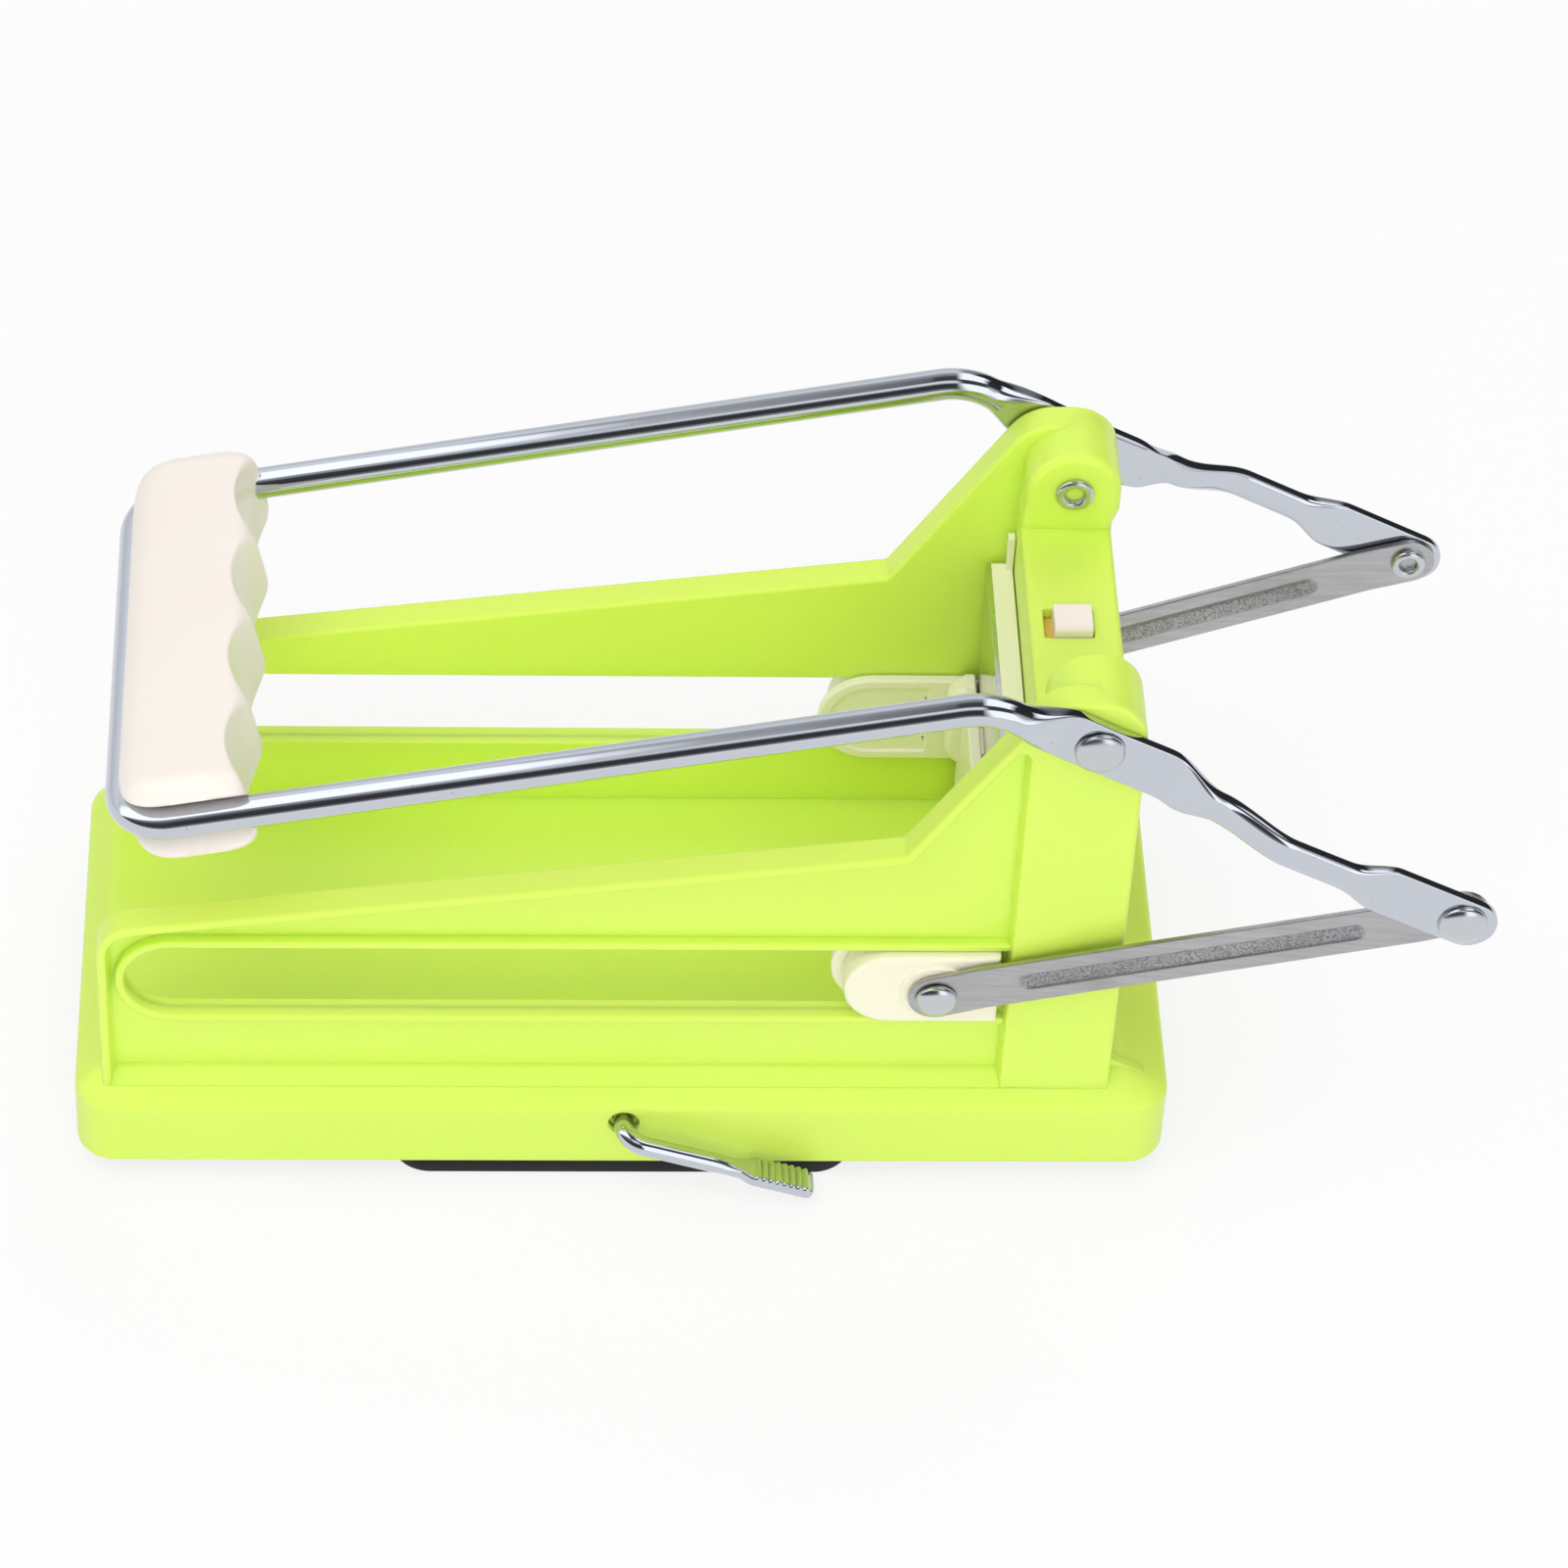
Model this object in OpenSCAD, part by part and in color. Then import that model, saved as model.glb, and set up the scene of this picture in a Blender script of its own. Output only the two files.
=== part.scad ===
// Lever-action potato chipper: a tray between two slotted walls, a pusher that two links
// drive through a fixed blade cassette, a swinging wire handle and a lever-locked suction base.
// Millimetres. X runs along the tray towards the blades, Y across it, Z up.
// The pad stands on z = 0; every height below is counted from the skirt's lower edge.

/* [Base] */
// Length of the skirt
base_l = 220; // [210:1:240]
// Width of the skirt
base_w = 92.4; // [91:0.2:100]
// Height of the skirt's upright side
skirt_h = 16.5; // [14:0.5:18]
// Plan radius of the skirt's corners
skirt_r = 8; // [4:0.5:12]
// Thickness of the skirt's side
skirt_t = 2.5; // [2:0.1:2.6]
// Height of the tray floor
floor_h = 21.5; // [20.6:0.1:22]
// Thickness of the tray floor
floor_t = 2.5; // [2:0.1:2.6]
// Clear width between the two walls
tray_w = 72.4; // [71.6:0.2:73]
// Thickness of a wall panel
wall_t = 2.6; // [2:0.1:3]
// How far the rim stands out from the panel
rim_out = 4; // [3:0.1:4.2]
// Thickness of the rim
rim_t = 2.2; // [1.6:0.1:3]
// Distance of the walls' open end from the middle
wall_left = 104.2; // [103:0.2:106]
// Radius of the rim's corner at the open end
wall_r = 8; // [6:0.5:12]
// Distance of the kink in the walls' top from the middle
kink_x = 53; // [48:0.5:58]
// Height of the kink in the walls' top
kink_h = 84.8; // [80:0.2:88]
// Slope of the walls' top up to the kink, in degrees
top_slope = 8; // [6:0.1:9]
// Slope of the walls' top from the kink up to the ears, in degrees
ramp_slope = 58; // [56:0.5:59]
// Radius where that slope turns over into the ear
crest_r = 10; // [8:0.5:11]

/* [Slots] */
// Height of the slot
slot_h = 19.2; // [18:0.1:20]
// Height of the slot's centre line
slot_mid = 47.2; // [46:0.1:48]
// Distance of the slot's round end from the middle
slot_left = 99.2; // [98:0.1:99.6]
// Width of the lip round the slot
lip_w = 1.8; // [1:0.1:2.2]
// How far the lip stands out from the panel
lip_out = 2.3; // [1.5:0.1:2.6]

/* [Arch] */
// Distance of the handle pivot from the middle
pivot_x = 88; // [87.4:0.1:89]
// Height of the handle pivot
pivot_h = 117; // [116:0.2:119]
// Radius of an ear
ear_r = 9.4; // [9.2:0.1:10]
// Thickness of an ear
ear_t = 15.6; // [14:0.2:18]
// Where the pillars start
pillar_x = 75; // [74.4:0.1:76]
// Where the arch starts on the inside
arch_x = 78; // [77.6:0.1:79]
// Depth of the arch along the tray
arch_l = 18; // [17:0.2:19]
// How far a pillar stands into the tray
pillar_in = 3; // [2.6:0.1:3.2]
// How far the bridge's top lies below the handle pivot
bridge_drop = 9.6; // [9:0.1:10.6]
// Height of the bridge
bridge_h = 19.4; // [18.4:0.2:20.4]
// Wall thickness of the bridge
bridge_t = 2.4; // [2:0.1:2.8]

/* [Handle] */
// Diameter of the wire
rod_d = 6.4; // [6:0.1:6.6]
// Centre distance of the two rails
rail_pitch = 92.6; // [92.4:0.1:94]
// Slope of the rails, in degrees
rail_slope = 11.7; // [10:0.1:13]
// Distance of the cross bar behind the pivot
bar_reach = 186.2; // [178:0.2:190]
// Distance of the rail bend behind the pivot
bend_back = 24.8; // [24:0.1:26]
// Fall of the wire between the bend and the pivot, in degrees
bend_fall = 30.3; // [29:0.1:32]
// Radius of the rail bend
bend_r = 14; // [12:0.5:16]
// Radius of the cross bar's corners
corner_r = 10; // [9:0.5:14]
// Length of the crank arm, from the pivot to the link
crank_l = 82.8; // [82:0.1:85]
// Fall of the crank arm, in degrees
crank_a = 28; // [27:0.1:29]
// Width of the flattened places
flat_w = 11.4; // [10.6:0.1:11.8]
// Thickness of the flattened places
flat_t = 2.3; // [2:0.1:2.4]
// How far the crank arm is set outwards at the link
splay = 7.7; // [7.6:0.05:8]
// Length of the tip past the link rivet
tip_l = 7; // [6:0.1:8]

/* [Grip] */
// Width of the grip along the rails
grip_w = 25.8; // [24:0.1:27]
// Height of the grip
grip_h = 20.6; // [18:0.2:22]
// How far the grip's ends stand past the rails' centre lines
grip_past = 2.6; // [1.8:0.1:2.8]
// How far the grip's back is set in front of the cross bar's centre line
grip_set = 0.6; // [0.2:0.1:1.2]
// Number of finger hollows
hollows = 4; // [3:1:5]
// Depth of a finger hollow
hollow_d = 4; // [2.6:0.1:4.4]

/* [Links and rivets] */
// Width of a link
link_w = 11; // [10:0.1:12]
// Thickness of a link
link_t = 1.2; // [1:0.1:1.4]
// Depth of the pressed bead
bead_d = 0.5; // [0.3:0.05:0.6]
// Radius of the handle rivets' shanks
pivot_rivet_r = 2.5; // [2:0.1:3]
// Radius of the link rivets' shanks
link_rivet_r = 2.1; // [1.8:0.1:2.4]
// Radius of the large rivet heads
head_r = 4.95; // [4.5:0.05:5.2]
// Radius of the pusher rivets' heads
pin_head_r = 4.2; // [3.8:0.1:4.6]
// Height of a rivet's dome
head_h = 2.1; // [1.8:0.1:2.3]

/* [Pusher] */
// Distance from the pusher's front to its link rivets
pin_setback = 11.3; // [11:0.1:12]
// Thickness of the pusher plate
plate_t = 2.5; // [2:0.1:3]
// Height of the pusher plate's top
plate_top = 61.3; // [61.2:0.1:62]
// Length of a slide shoe's block behind the rivet
shoe_back = 18.2; // [17:0.1:18.4]
// Length of a slide shoe's block in front of the rivet
shoe_front = 12.6; // [11.6:0.1:12.8]
// Half height of a slide shoe's inner flange
flange_h = 11.2; // [10.6:0.1:12]
// Thickness of a slide shoe's inner flange
flange_t = 2.2; // [2:0.1:2.4]
// Half height of the pusher's side cheeks
cheek_h = 13.4; // [12.4:0.1:13.8]

/* [Blade cassette] */
// Spacing of the blades
cell = 9.5; // [9.2:0.05:9.6]
// Cells across the tray
cols = 6; // [5:1:6]
// Cells up the tray
rows = 4; // [3:1:4]
// Thickness of a blade
blade_t = 0.6; // [0.5:0.05:0.8]
// Depth of a blade along the tray
blade_d = 10.8; // [10:0.1:12]
// Thickness of the steel front plate
front_t = 1; // [0.8:0.1:1.2]
// Depth of the cassette's flange
cass_flange = 4.2; // [4:0.1:4.4]
// Height of the cassette's flange
cass_top = 91; // [90.4:0.1:92]
// Depth of the cassette inside the arch
cass_in = 14.4; // [14:0.1:16]

/* [Latch] */
// Width of the latch button along the tray
button_l = 7.6; // [7:0.1:7.8]
// Width of the latch button across the tray
button_w = 7.6; // [7:0.1:8.4]
// How far the button stands out of the bridge
button_up = 2.2; // [1.8:0.1:2.4]
// How far the button is pressed in
button_travel = 5; // [4.9:0.1:5.2]
// Open part of the window behind the button
button_gap = 1.9; // [1.6:0.1:2]

/* [Suction base] */
// How far the pad stands below the skirt
pad_drop = 4.5; // [3.5:0.1:6]
// Length of the pad
pad_l = 90; // [86:0.5:96]
// How far the pad's lip stands out under the skirt's edge
pad_out = 1.7; // [0.5:0.1:2]
// Height of the lever's axle
axle_h = 11.8; // [11.4:0.1:12]
// Diameter of the lever's wire
wire_d = 4; // [3.6:0.1:4.2]
// Throw of the lever's crank
throw = 1.5; // [1.2:0.05:1.6]
// Reach of the lever from its axle
lever_l = 40.7; // [38:0.1:44]
// Fall of the lever at rest, in degrees
lever_a = 19; // [16:0.5:21]
// Length of the thumb rest
thumb_l = 15.5; // [12:0.5:18]
// Width of the thumb rest
thumb_w = 6; // [5:0.1:6.4]
// Number of ribs on the thumb rest
ribs = 8; // [5:1:9]

/* [Hidden] */
$fn = 64;
gap = 0.3;        // clearance between pieces on different bodies
snug = 0.1;       // clearance of a piece held in a pocket
run = 0.06;       // radial clearance of a turning fit
eps = 0.01;
tip_flat = 18;    // length of the flattened end behind the link rivet
neck_fade = 9;    // length over which the round neck becomes that flat
neck_run = 40;    // from here to the rivet the neck stands outside the link
thin = 0.02;      // a straight wire is this much thinner than its bends
into = 0.4;       // and runs this far into them

wall_in = tray_w / 2;
panel_y = wall_in + wall_t;
rim_y = panel_y + rim_out;
lip_y = panel_y + lip_out;
slot_r = slot_h / 2;
ear_in = rim_y - ear_t;
ear_top = pivot_h + ear_r;
hip_x = pivot_x + ear_r;
hip_h = floor_h + 2;
arch_in = wall_in - pillar_in;
bridge_top = pivot_h - bridge_drop;
bridge_low = bridge_top - bridge_h;
pivot = [pivot_x, pivot_h];
crank_end = pivot + crank_l * [cos(crank_a), -sin(crank_a)];

rail_y = rail_pitch / 2;
rod_r = rod_d / 2;
flat_in = rail_y - rod_r;
arm_in = flat_in + splay;
bend_pt = pivot + bend_back * [-cos(bend_fall), sin(bend_fall)];
bar_x = pivot_x - bar_reach;
bar_pt = [bar_x, bend_pt[1] - (bend_pt[0] - bar_x) * tan(rail_slope)];
rail_l = (bend_pt[0] - bar_x) / cos(rail_slope);
bend_a = rail_slope + bend_fall;
bend_tan = bend_r * tan(bend_a / 2);

front_x = arch_x - gap - cass_flange - front_t;
push_x = front_x - gap;
pin = [push_x - pin_setback, slot_mid];
link_l = norm(crank_end - pin);
link_a = atan2(crank_end[1] - pin[1], crank_end[0] - pin[0]);
shoe_y = lip_y + 1.5;
shoe_boss_y = rim_y + gap + snug;
link_in_0 = shoe_boss_y + gap;
link_in_1 = arm_in - snug * 2 - link_t;
link_flat = 9;    // straight length of a link at its rivets
cup_deep = 0.6;   // depth of the shoe's rivet recess past the flange
grip_margin = 2.5; // from the last hollow to the grip's end

grid_low = floor_h + 2.2;
grid_w = cols * cell;
grid_h = rows * cell;
cass_low = floor_h + snug;
cass_y = wall_in - 1.7;
cass_in_y = arch_in - gap;
cass_in_x = arch_x - gap;
cass_in_top = bridge_low - gap;
cass_wall = 2.4;  // wall round the core behind the grid
tab_h = 8.4;      // height, width and thickness of the upright tab
tab_w = 2;
tab_t = 1.3;
screw_up = 6;     // lower screws above the grid
screw_down = 5;   // upper screws below the flange's top
plate_screw_l = 4;
peg = cell - blade_t - 1;
seat = 2;         // how far a blade is let into the cassette
half_deep = (blade_d + snug) / 2;

window_x = arch_x + bridge_t + 0.4;
button_x = window_x + button_gap;
window_l = button_gap + button_l + gap;
stem_t = 2.4;
stem_w = 5.8;
guide_h = 8;      // height and thickness of the cheeks that guide the stem
guide_t = 2;
stem_low = cass_in_top + button_travel + 0.5;

skirt_in = base_w / 2 - skirt_t;
pad_w = 2 * (skirt_in - 0.4);
pad_top = 0.6;
lip_gap = 1.2;    // gap between the pad's lip and the skirt's edge
carrier_t = 2.4;
carrier_top = pad_top + carrier_t;
deck_low = floor_h - floor_t;
wire_r = wire_d / 2;
foot_r = 9;
foot_t = 2.1;
web_t = 1.2;
play = 0.45;      // play of the crank pin in the stud's window
stud_bar = 2;
stud_half = 5;
post_y = 11.5;    // place, thickness and half length of the lever's bearings
post_t = 3;
post_half = 5;
screw_grip = 7;   // length of a carrier screw past the plate
screw_x = pad_l / 2 - 7;
screw_y = skirt_in - 10;
lever_turn_r = 4.5;
lever_y = base_w / 2 + 0.4 + lever_turn_r;

// ---------- helpers ----------

// Lifts what is drawn from the skirt's edge to its height above the table.
module stand() translate([0, 0, pad_drop]) children();

// Extrudes an X-Z outline across the tray, from y0 to y1.
module across(y0, y1) translate([0, y1, 0]) rotate([90, 0, 0]) linear_extrude(y1 - y0) children();

// Extrudes a Y-Z outline along the tray, from x0 to x1.
module along(x0, x1) translate([x0, 0, 0]) rotate([90, 0, 90]) linear_extrude(x1 - x0) children();

// A round bar across the tray at an X-Z point.
module bar_y(pt, r, y0, y1) translate([pt[0], y0, pt[1]]) rotate([-90, 0, 0]) cylinder(r = r, h = y1 - y0);

// A box from its two corners.
module box(a, b) translate(a) cube(b - a);

// Draws the far side as given and the near side as its mirror image.
module both_sides() {
    children();
    mirror([0, 1, 0]) children();
}

module rounded_rect(l, w, r) {
    square([l - 2 * r, w], center = true);
    square([l, w - 2 * r], center = true);
    for (x = [-1, 1], y = [-1, 1]) translate([x * (l / 2 - r), y * (w / 2 - r)]) circle(r);
}

// A slot outline between two points on one level, round at both ends.
module stadium(x0, x1, r) {
    translate([x0, -r]) square([x1 - x0, 2 * r]);
    for (x = [x0, x1]) translate([x, 0]) circle(r);
}

// A low dome on a thin rim, standing outwards along Y.
module rivet_head(pt, r, y) {
    rim = 0.4;
    h = head_h - rim;
    ball = (r * r + h * h) / (2 * h);
    translate([pt[0], y, pt[1]]) rotate([-90, 0, 0]) {
        cylinder(r = r, h = rim + eps);
        translate([0, 0, rim]) intersection() {
            translate([0, 0, h - ball]) sphere(ball, $fn = 96);
            cylinder(r = r, h = h);
        }
    }
}

// The rolled end of a hollow rivet, from y inwards, with its hole.
module rivet_tail(pt, r, y, h) difference() {
    bar_y(pt, r, y - h, y);
    bar_y(pt, r * 0.5, y - h - eps, y - h * 0.35);
}

// ---------- base ----------

// The outline of a wall with its ear; inset draws the panel's smaller field inside the rim.
module wall_outline(inset = 0) {
    n1 = [sin(top_slope), -cos(top_slope)];
    n2 = [sin(ramp_slope), -cos(ramp_slope)];
    kink = [kink_x, kink_h] + inset * (n1 + n2) / (1 + n1 * n2);
    corner_x = wall_r - wall_left;
    corner = [corner_x, kink_h - (kink_x - corner_x) * tan(top_slope) - wall_r / cos(top_slope)];
    left = -wall_left + inset;
    r = wall_r - inset;
    if (inset > 0) {
        ramp_top = kink[1] + (pillar_x - kink[0]) * tan(ramp_slope);
        polygon([[left, floor_h], [left, corner[1]], corner - r * n1, kink, [pillar_x, ramp_top],
            [pillar_x, floor_h]]);
    } else {
        crest_h = ear_top - crest_r;
        crest = [kink_x + (crest_r + (crest_h - kink_h) * cos(ramp_slope)) / sin(ramp_slope), crest_h];
        polygon([[left, 0], [left, corner[1]], corner - r * n1, kink, crest - crest_r * n2, crest,
            [crest[0], ear_top], [pivot_x, ear_top], pivot, [hip_x, pivot_h], [hip_x, 0]]);
        translate(crest) circle(crest_r);
        translate(pivot) circle(ear_r);
    }
    translate(corner) circle(r);
}

module slot_outline(grow = 0) {
    r = slot_r + grow;
    x0 = -slot_left + slot_r;
    translate([x0, slot_mid - r]) square([pillar_x - x0, 2 * r]);
    translate([x0, slot_mid]) circle(r);
}

module base_shell() {
    linear_extrude(skirt_h) rounded_rect(base_l, base_w, skirt_r);
    intersection() {
        linear_extrude(hip_h) rounded_rect(base_l, base_w, skirt_r);
        along(-base_l, base_l) polygon([
            [-base_w / 2, 1], [base_w / 2, 1], [base_w / 2, skirt_h], [panel_y, floor_h],
            [panel_y - 4, hip_h], [4 - panel_y, hip_h], [-panel_y, floor_h],
            [-base_w / 2, skirt_h]]);
        across(-base_w, base_w) polygon([
            [-base_l / 2, 1], [base_l / 2, 1], [base_l / 2, skirt_h],
            [hip_x, hip_h], [-wall_left, floor_h], [-base_l / 2, skirt_h]]);
    }
    both_sides() difference() {
        across(wall_in, rim_y) wall_outline();
        across(panel_y, rim_y + 1) intersection() {
            wall_outline(rim_t);
            translate([-wall_left, floor_h]) square([wall_left + pillar_x, pivot_h]);
        }
    }
}

// The hollow under the deck, which follows the shoulders at the skirt's thickness.
module deck_hollow() {
    intersection() {
        translate([0, 0, -1]) linear_extrude(deck_low + 1)
            rounded_rect(base_l - 2 * skirt_t, base_w - 2 * skirt_t, skirt_r - skirt_t);
        along(-base_l, base_l) hollow_outline(base_w / 2, base_w / 2 - panel_y, floor_h,
            base_w / 2, base_w / 2 - panel_y, floor_h);
        across(-base_w, base_w) hollow_outline(base_l / 2, base_l / 2 - wall_left, floor_h,
            base_l / 2, base_l / 2 - hip_x, hip_h);
    }
}

// The hollow's section: each shoulder starts at half a, climbs over run and ends at height top.
module hollow_outline(a0, run0, top0, a1, run1, top1) {
    s0 = (top0 - skirt_h) / run0;
    s1 = (top1 - skirt_h) / run1;
    drop0 = skirt_t * norm([1, s0]);
    drop1 = skirt_t * norm([1, s1]);
    polygon([
        [-a0, -1], [a1, -1], [a1, skirt_h - drop1],
        [a1 - (deck_low - skirt_h + drop1) / s1, deck_low],
        [(deck_low - skirt_h + drop0) / s0 - a0, deck_low], [-a0, skirt_h - drop0]]);
}

module arch() {
    low = deck_low + eps;
    both_sides() {
        box([arch_x, arch_in, low], [arch_x + arch_l, wall_in + eps, bridge_top]);
        across(ear_in, rim_y - eps) {
            translate(pivot) circle(ear_r);
            translate([arch_x, bridge_low]) square([arch_l, pivot_h - bridge_low]);
        }
    }
    difference() {
        box([arch_x, -arch_in - eps, bridge_low], [arch_x + arch_l, arch_in + eps, bridge_top]);
        box([arch_x + bridge_t, -ear_in + bridge_t, bridge_low - 1],
            [arch_x + arch_l - bridge_t, ear_in - bridge_t, bridge_top - bridge_t]);
        box([window_x, -button_w / 2 - gap, bridge_top - bridge_t - 1],
            [window_x + window_l, button_w / 2 + gap, bridge_top + 1]);
    }
}

module deck_ribs() {
    rib_t = 1.8;
    rib_low = deck_low - 6;
    for (x = [-1, 1] * base_l * 0.34)
        box([x - rib_t / 2, -base_w, rib_low], [x + rib_t / 2, base_w, floor_h]);
    for (y = [-1, 1] * skirt_in * 0.5, s = [-1, 1])
        box([min(s * (pad_l / 2 + 2), s * base_l), y - rib_t / 2, rib_low],
            [max(s * (pad_l / 2 + 2), s * base_l), y + rib_t / 2, floor_h]);
}

module base_body() stand() color([0.8, 1, 0.3]) difference() {
    union() {
        difference() {
            base_shell();
            box([-base_l, -wall_in, floor_h], [base_l, wall_in, pivot_h * 2]);
            difference() {
                deck_hollow();
                deck_ribs();
            }
            both_sides() across(wall_in - 1, rim_y + 1) slot_outline();
        }
        both_sides() difference() {
            across(panel_y - eps, lip_y) slot_outline(lip_w);
            across(wall_in - 1, rim_y + 1) slot_outline();
        }
        arch();
        for (x = [-1, 1] * screw_x, y = [-1, 1] * screw_y) translate([x, y, carrier_top]) difference() {
            cylinder(r = 3.6, h = deck_low - carrier_top + eps);
            translate([0, 0, -1]) cylinder(r = 1.3, h = 11);
        }
    }
    both_sides() bar_y(pivot, pivot_rivet_r + 0.03, ear_in - 2, rim_y + 1);
    bar_y([0, axle_h], wire_r + 1.2, -base_w, -skirt_in + 2);
}

// ---------- suction base ----------

module suction_pad() stand() color([0.12, 0.12, 0.13]) difference() {
    union() {
        translate([0, 0, -lip_gap - 1]) linear_extrude(lip_gap + 1 + pad_top)
            rounded_rect(pad_l, pad_w, skirt_r);
        translate([0, 0, -pad_drop]) linear_extrude(pad_drop - lip_gap)
            rounded_rect(pad_l + 2 * pad_out, pad_w + 2 * pad_out, skirt_r);
    }
    translate([0, 0, -pad_drop + web_t]) cylinder(r = foot_r + 0.5, h = pad_drop + pad_top);
}

module pad_carrier() stand() color([0.2, 0.2, 0.2]) difference() {
    union() {
        translate([0, 0, pad_top]) linear_extrude(carrier_t) rounded_rect(pad_l - 3, pad_w - 3, skirt_r);
        both_sides() box([-post_half, post_y, carrier_top - eps],
            [post_half, post_y + post_t, axle_h + wire_r]);
    }
    translate([0, 0, -1]) cylinder(r = foot_r + 0.6, h = carrier_top + 2);
    both_sides() {
        bar_y([0, axle_h], wire_r + run, post_y - 1, post_y + post_t + 1);
        box([-wire_r - run, post_y - 1, axle_h], [wire_r + run, post_y + post_t + 1, axle_h + wire_d]);
    }
    for (x = [-1, 1] * screw_x, y = [-1, 1] * screw_y) translate([x, y, pad_top - 1]) {
        cylinder(r = 1.6, h = carrier_t + 2);
        cylinder(r = 2.9, h = 2.2);
    }
}

module carrier_screws() stand() color("silver")
    for (x = [-1, 1] * screw_x, y = [-1, 1] * screw_y) translate([x, y, pad_top + 0.1]) {
        cylinder(r = 2.7, h = 1.1);
        cylinder(r = 1.25, h = carrier_t + screw_grip);
    }

module pad_stud() stand() color([0.95, 0.93, 0.86]) {
    low = -pad_drop + web_t + gap;
    pin_h = axle_h - throw;
    side = throw + wire_r + 0.5;
    translate([0, 0, low]) cylinder(r = foot_r, h = foot_t);
    window_top = pin_h + wire_r + play;
    difference() {
        box([-side - stud_bar, -stud_half, low + foot_t - eps],
            [side + stud_bar, stud_half, window_top + stud_bar]);
        box([-side, -stud_half - 1, pin_h - wire_r - play], [side, stud_half + 1, window_top]);
    }
}

module suction_lever() stand() color("silver") translate([0, 0, axle_h]) {
    web_y = 5.5;
    bar_y([0, 0], wire_r - thin, -lever_y + lever_turn_r - into, -web_y + 0.5);
    bar_y([0, -throw], wire_r, -web_y, web_y);
    bar_y([0, 0], wire_r, web_y - 0.5, post_y + post_t - 0.2);
    rotate([0, lever_a, 0]) {
        translate([lever_turn_r, -lever_y + lever_turn_r, 0]) rotate([0, 0, 180])
            rotate_extrude(angle = 90) translate([lever_turn_r, 0]) circle(wire_r);
        translate([lever_turn_r - into, -lever_y, 0]) rotate([0, 90, 0])
            cylinder(r = wire_r - thin, h = lever_l - lever_turn_r - thumb_l + 2);
        translate([lever_l - thumb_l, -lever_y, 0]) thumb_rest();
    }
}

// The flattened end of the lever, with ribs across its upper face.
module thumb_rest() {
    t = 2.6;
    r = 1.2;
    end = thumb_l - r;
    translate([0, 0, -t / 2]) linear_extrude(t) {
        polygon([[-2, -wire_r + 0.4], [-2, wire_r - 0.4], [2, thumb_w / 2], [end, thumb_w / 2],
            [end, -thumb_w / 2], [2, -thumb_w / 2]]);
        translate([end - eps, -thumb_w / 2 + r]) square([r, thumb_w - 2 * r]);
        for (s = [-1, 1]) translate([end, s * (thumb_w / 2 - r)]) circle(r);
    }
    rib_0 = 2.5;
    pitch = (end - rib_0) / ribs;
    for (i = [0 : ribs - 1]) translate([rib_0 + (i + 0.5) * pitch, 0, t / 2 - 0.15])
        rotate([90, 0, 0]) cylinder(r = pitch * 0.3, h = thumb_w - 0.6, center = true);
}

// ---------- blade cassette ----------

module grid_window(x0, x1) box([x0, -grid_w / 2, grid_low], [x1, grid_w / 2, grid_low + grid_h]);

function blade_ys() = [for (i = [1 : cols - 1]) (i - cols / 2) * cell];
function blade_zs() = [for (j = [1 : rows - 1]) grid_low + j * cell];
screw_zs = [grid_low + grid_h + screw_up, cass_top - screw_down];
screw_spots = [for (y = [-1, 1] * (grid_w / 2 - 3), z = screw_zs) [y, z]];

module blade_cassette() stand() color([0.96, 0.94, 0.86]) {
    x_cut = front_x + front_t;
    difference() {
        union() {
            box([x_cut, -cass_y, cass_low], [cass_in_x, cass_y, cass_top]);
            box([cass_in_x - eps, -cass_in_y, cass_low], [cass_in_x + cass_in, cass_in_y, cass_in_top]);
        }
        grid_window(x_cut - 1, cass_in_x + cass_in + 1);
        for (y = blade_ys()) box([x_cut - 1, y - blade_t / 2 - snug, grid_low - seat],
            [x_cut + blade_d + 2 * snug, y + blade_t / 2 + snug, grid_low + grid_h + seat + snug]);
        for (z = blade_zs()) box([x_cut - 1, -grid_w / 2 - seat - snug, z - blade_t / 2 - snug],
            [x_cut + blade_d + 2 * snug, grid_w / 2 + seat + snug, z + blade_t / 2 + snug]);
        for (p = screw_spots) translate([x_cut - 1, p[0], p[1]]) rotate([0, 90, 0])
            cylinder(r = 1.25, h = 8);
        // The wall above the grid is cored out from behind.
        box([cass_in_x + cass_wall, -cass_in_y + cass_wall, grid_low + grid_h + 2 * seat + 1],
            [cass_in_x + cass_in + 1, cass_in_y - cass_wall, cass_in_top - cass_wall]);
    }
    // A thin upright tab at the far side.
    box([cass_in_x - tab_t, cass_y - tab_w, cass_top - 1], [cass_in_x, cass_y, cass_top + tab_h]);
    // Two cheeks guide the stem of the latch button.
    both_sides() box([button_x, stem_w / 2 + gap, cass_in_top - 1],
        [button_x + button_l, stem_w / 2 + gap + guide_t, cass_in_top + guide_h]);
}

module cassette_front_plate() stand() color([0.75, 0.76, 0.78]) difference() {
    box([front_x, -cass_y, cass_low], [front_x + front_t - eps, cass_y, cass_top]);
    grid_window(front_x - 1, front_x + front_t + 1);
    for (p = screw_spots) translate([front_x - 1, p[0], p[1]]) rotate([0, 90, 0]) cylinder(r = 2.6, h = 4);
}

module front_plate_screws() stand() color("silver") for (p = screw_spots)
    translate([front_x, p[0], p[1]]) rotate([0, 90, 0]) {
        cylinder(r = 2.5, h = front_t);
        cylinder(r = 1.2, h = front_t + plate_screw_l);
    }

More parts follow.
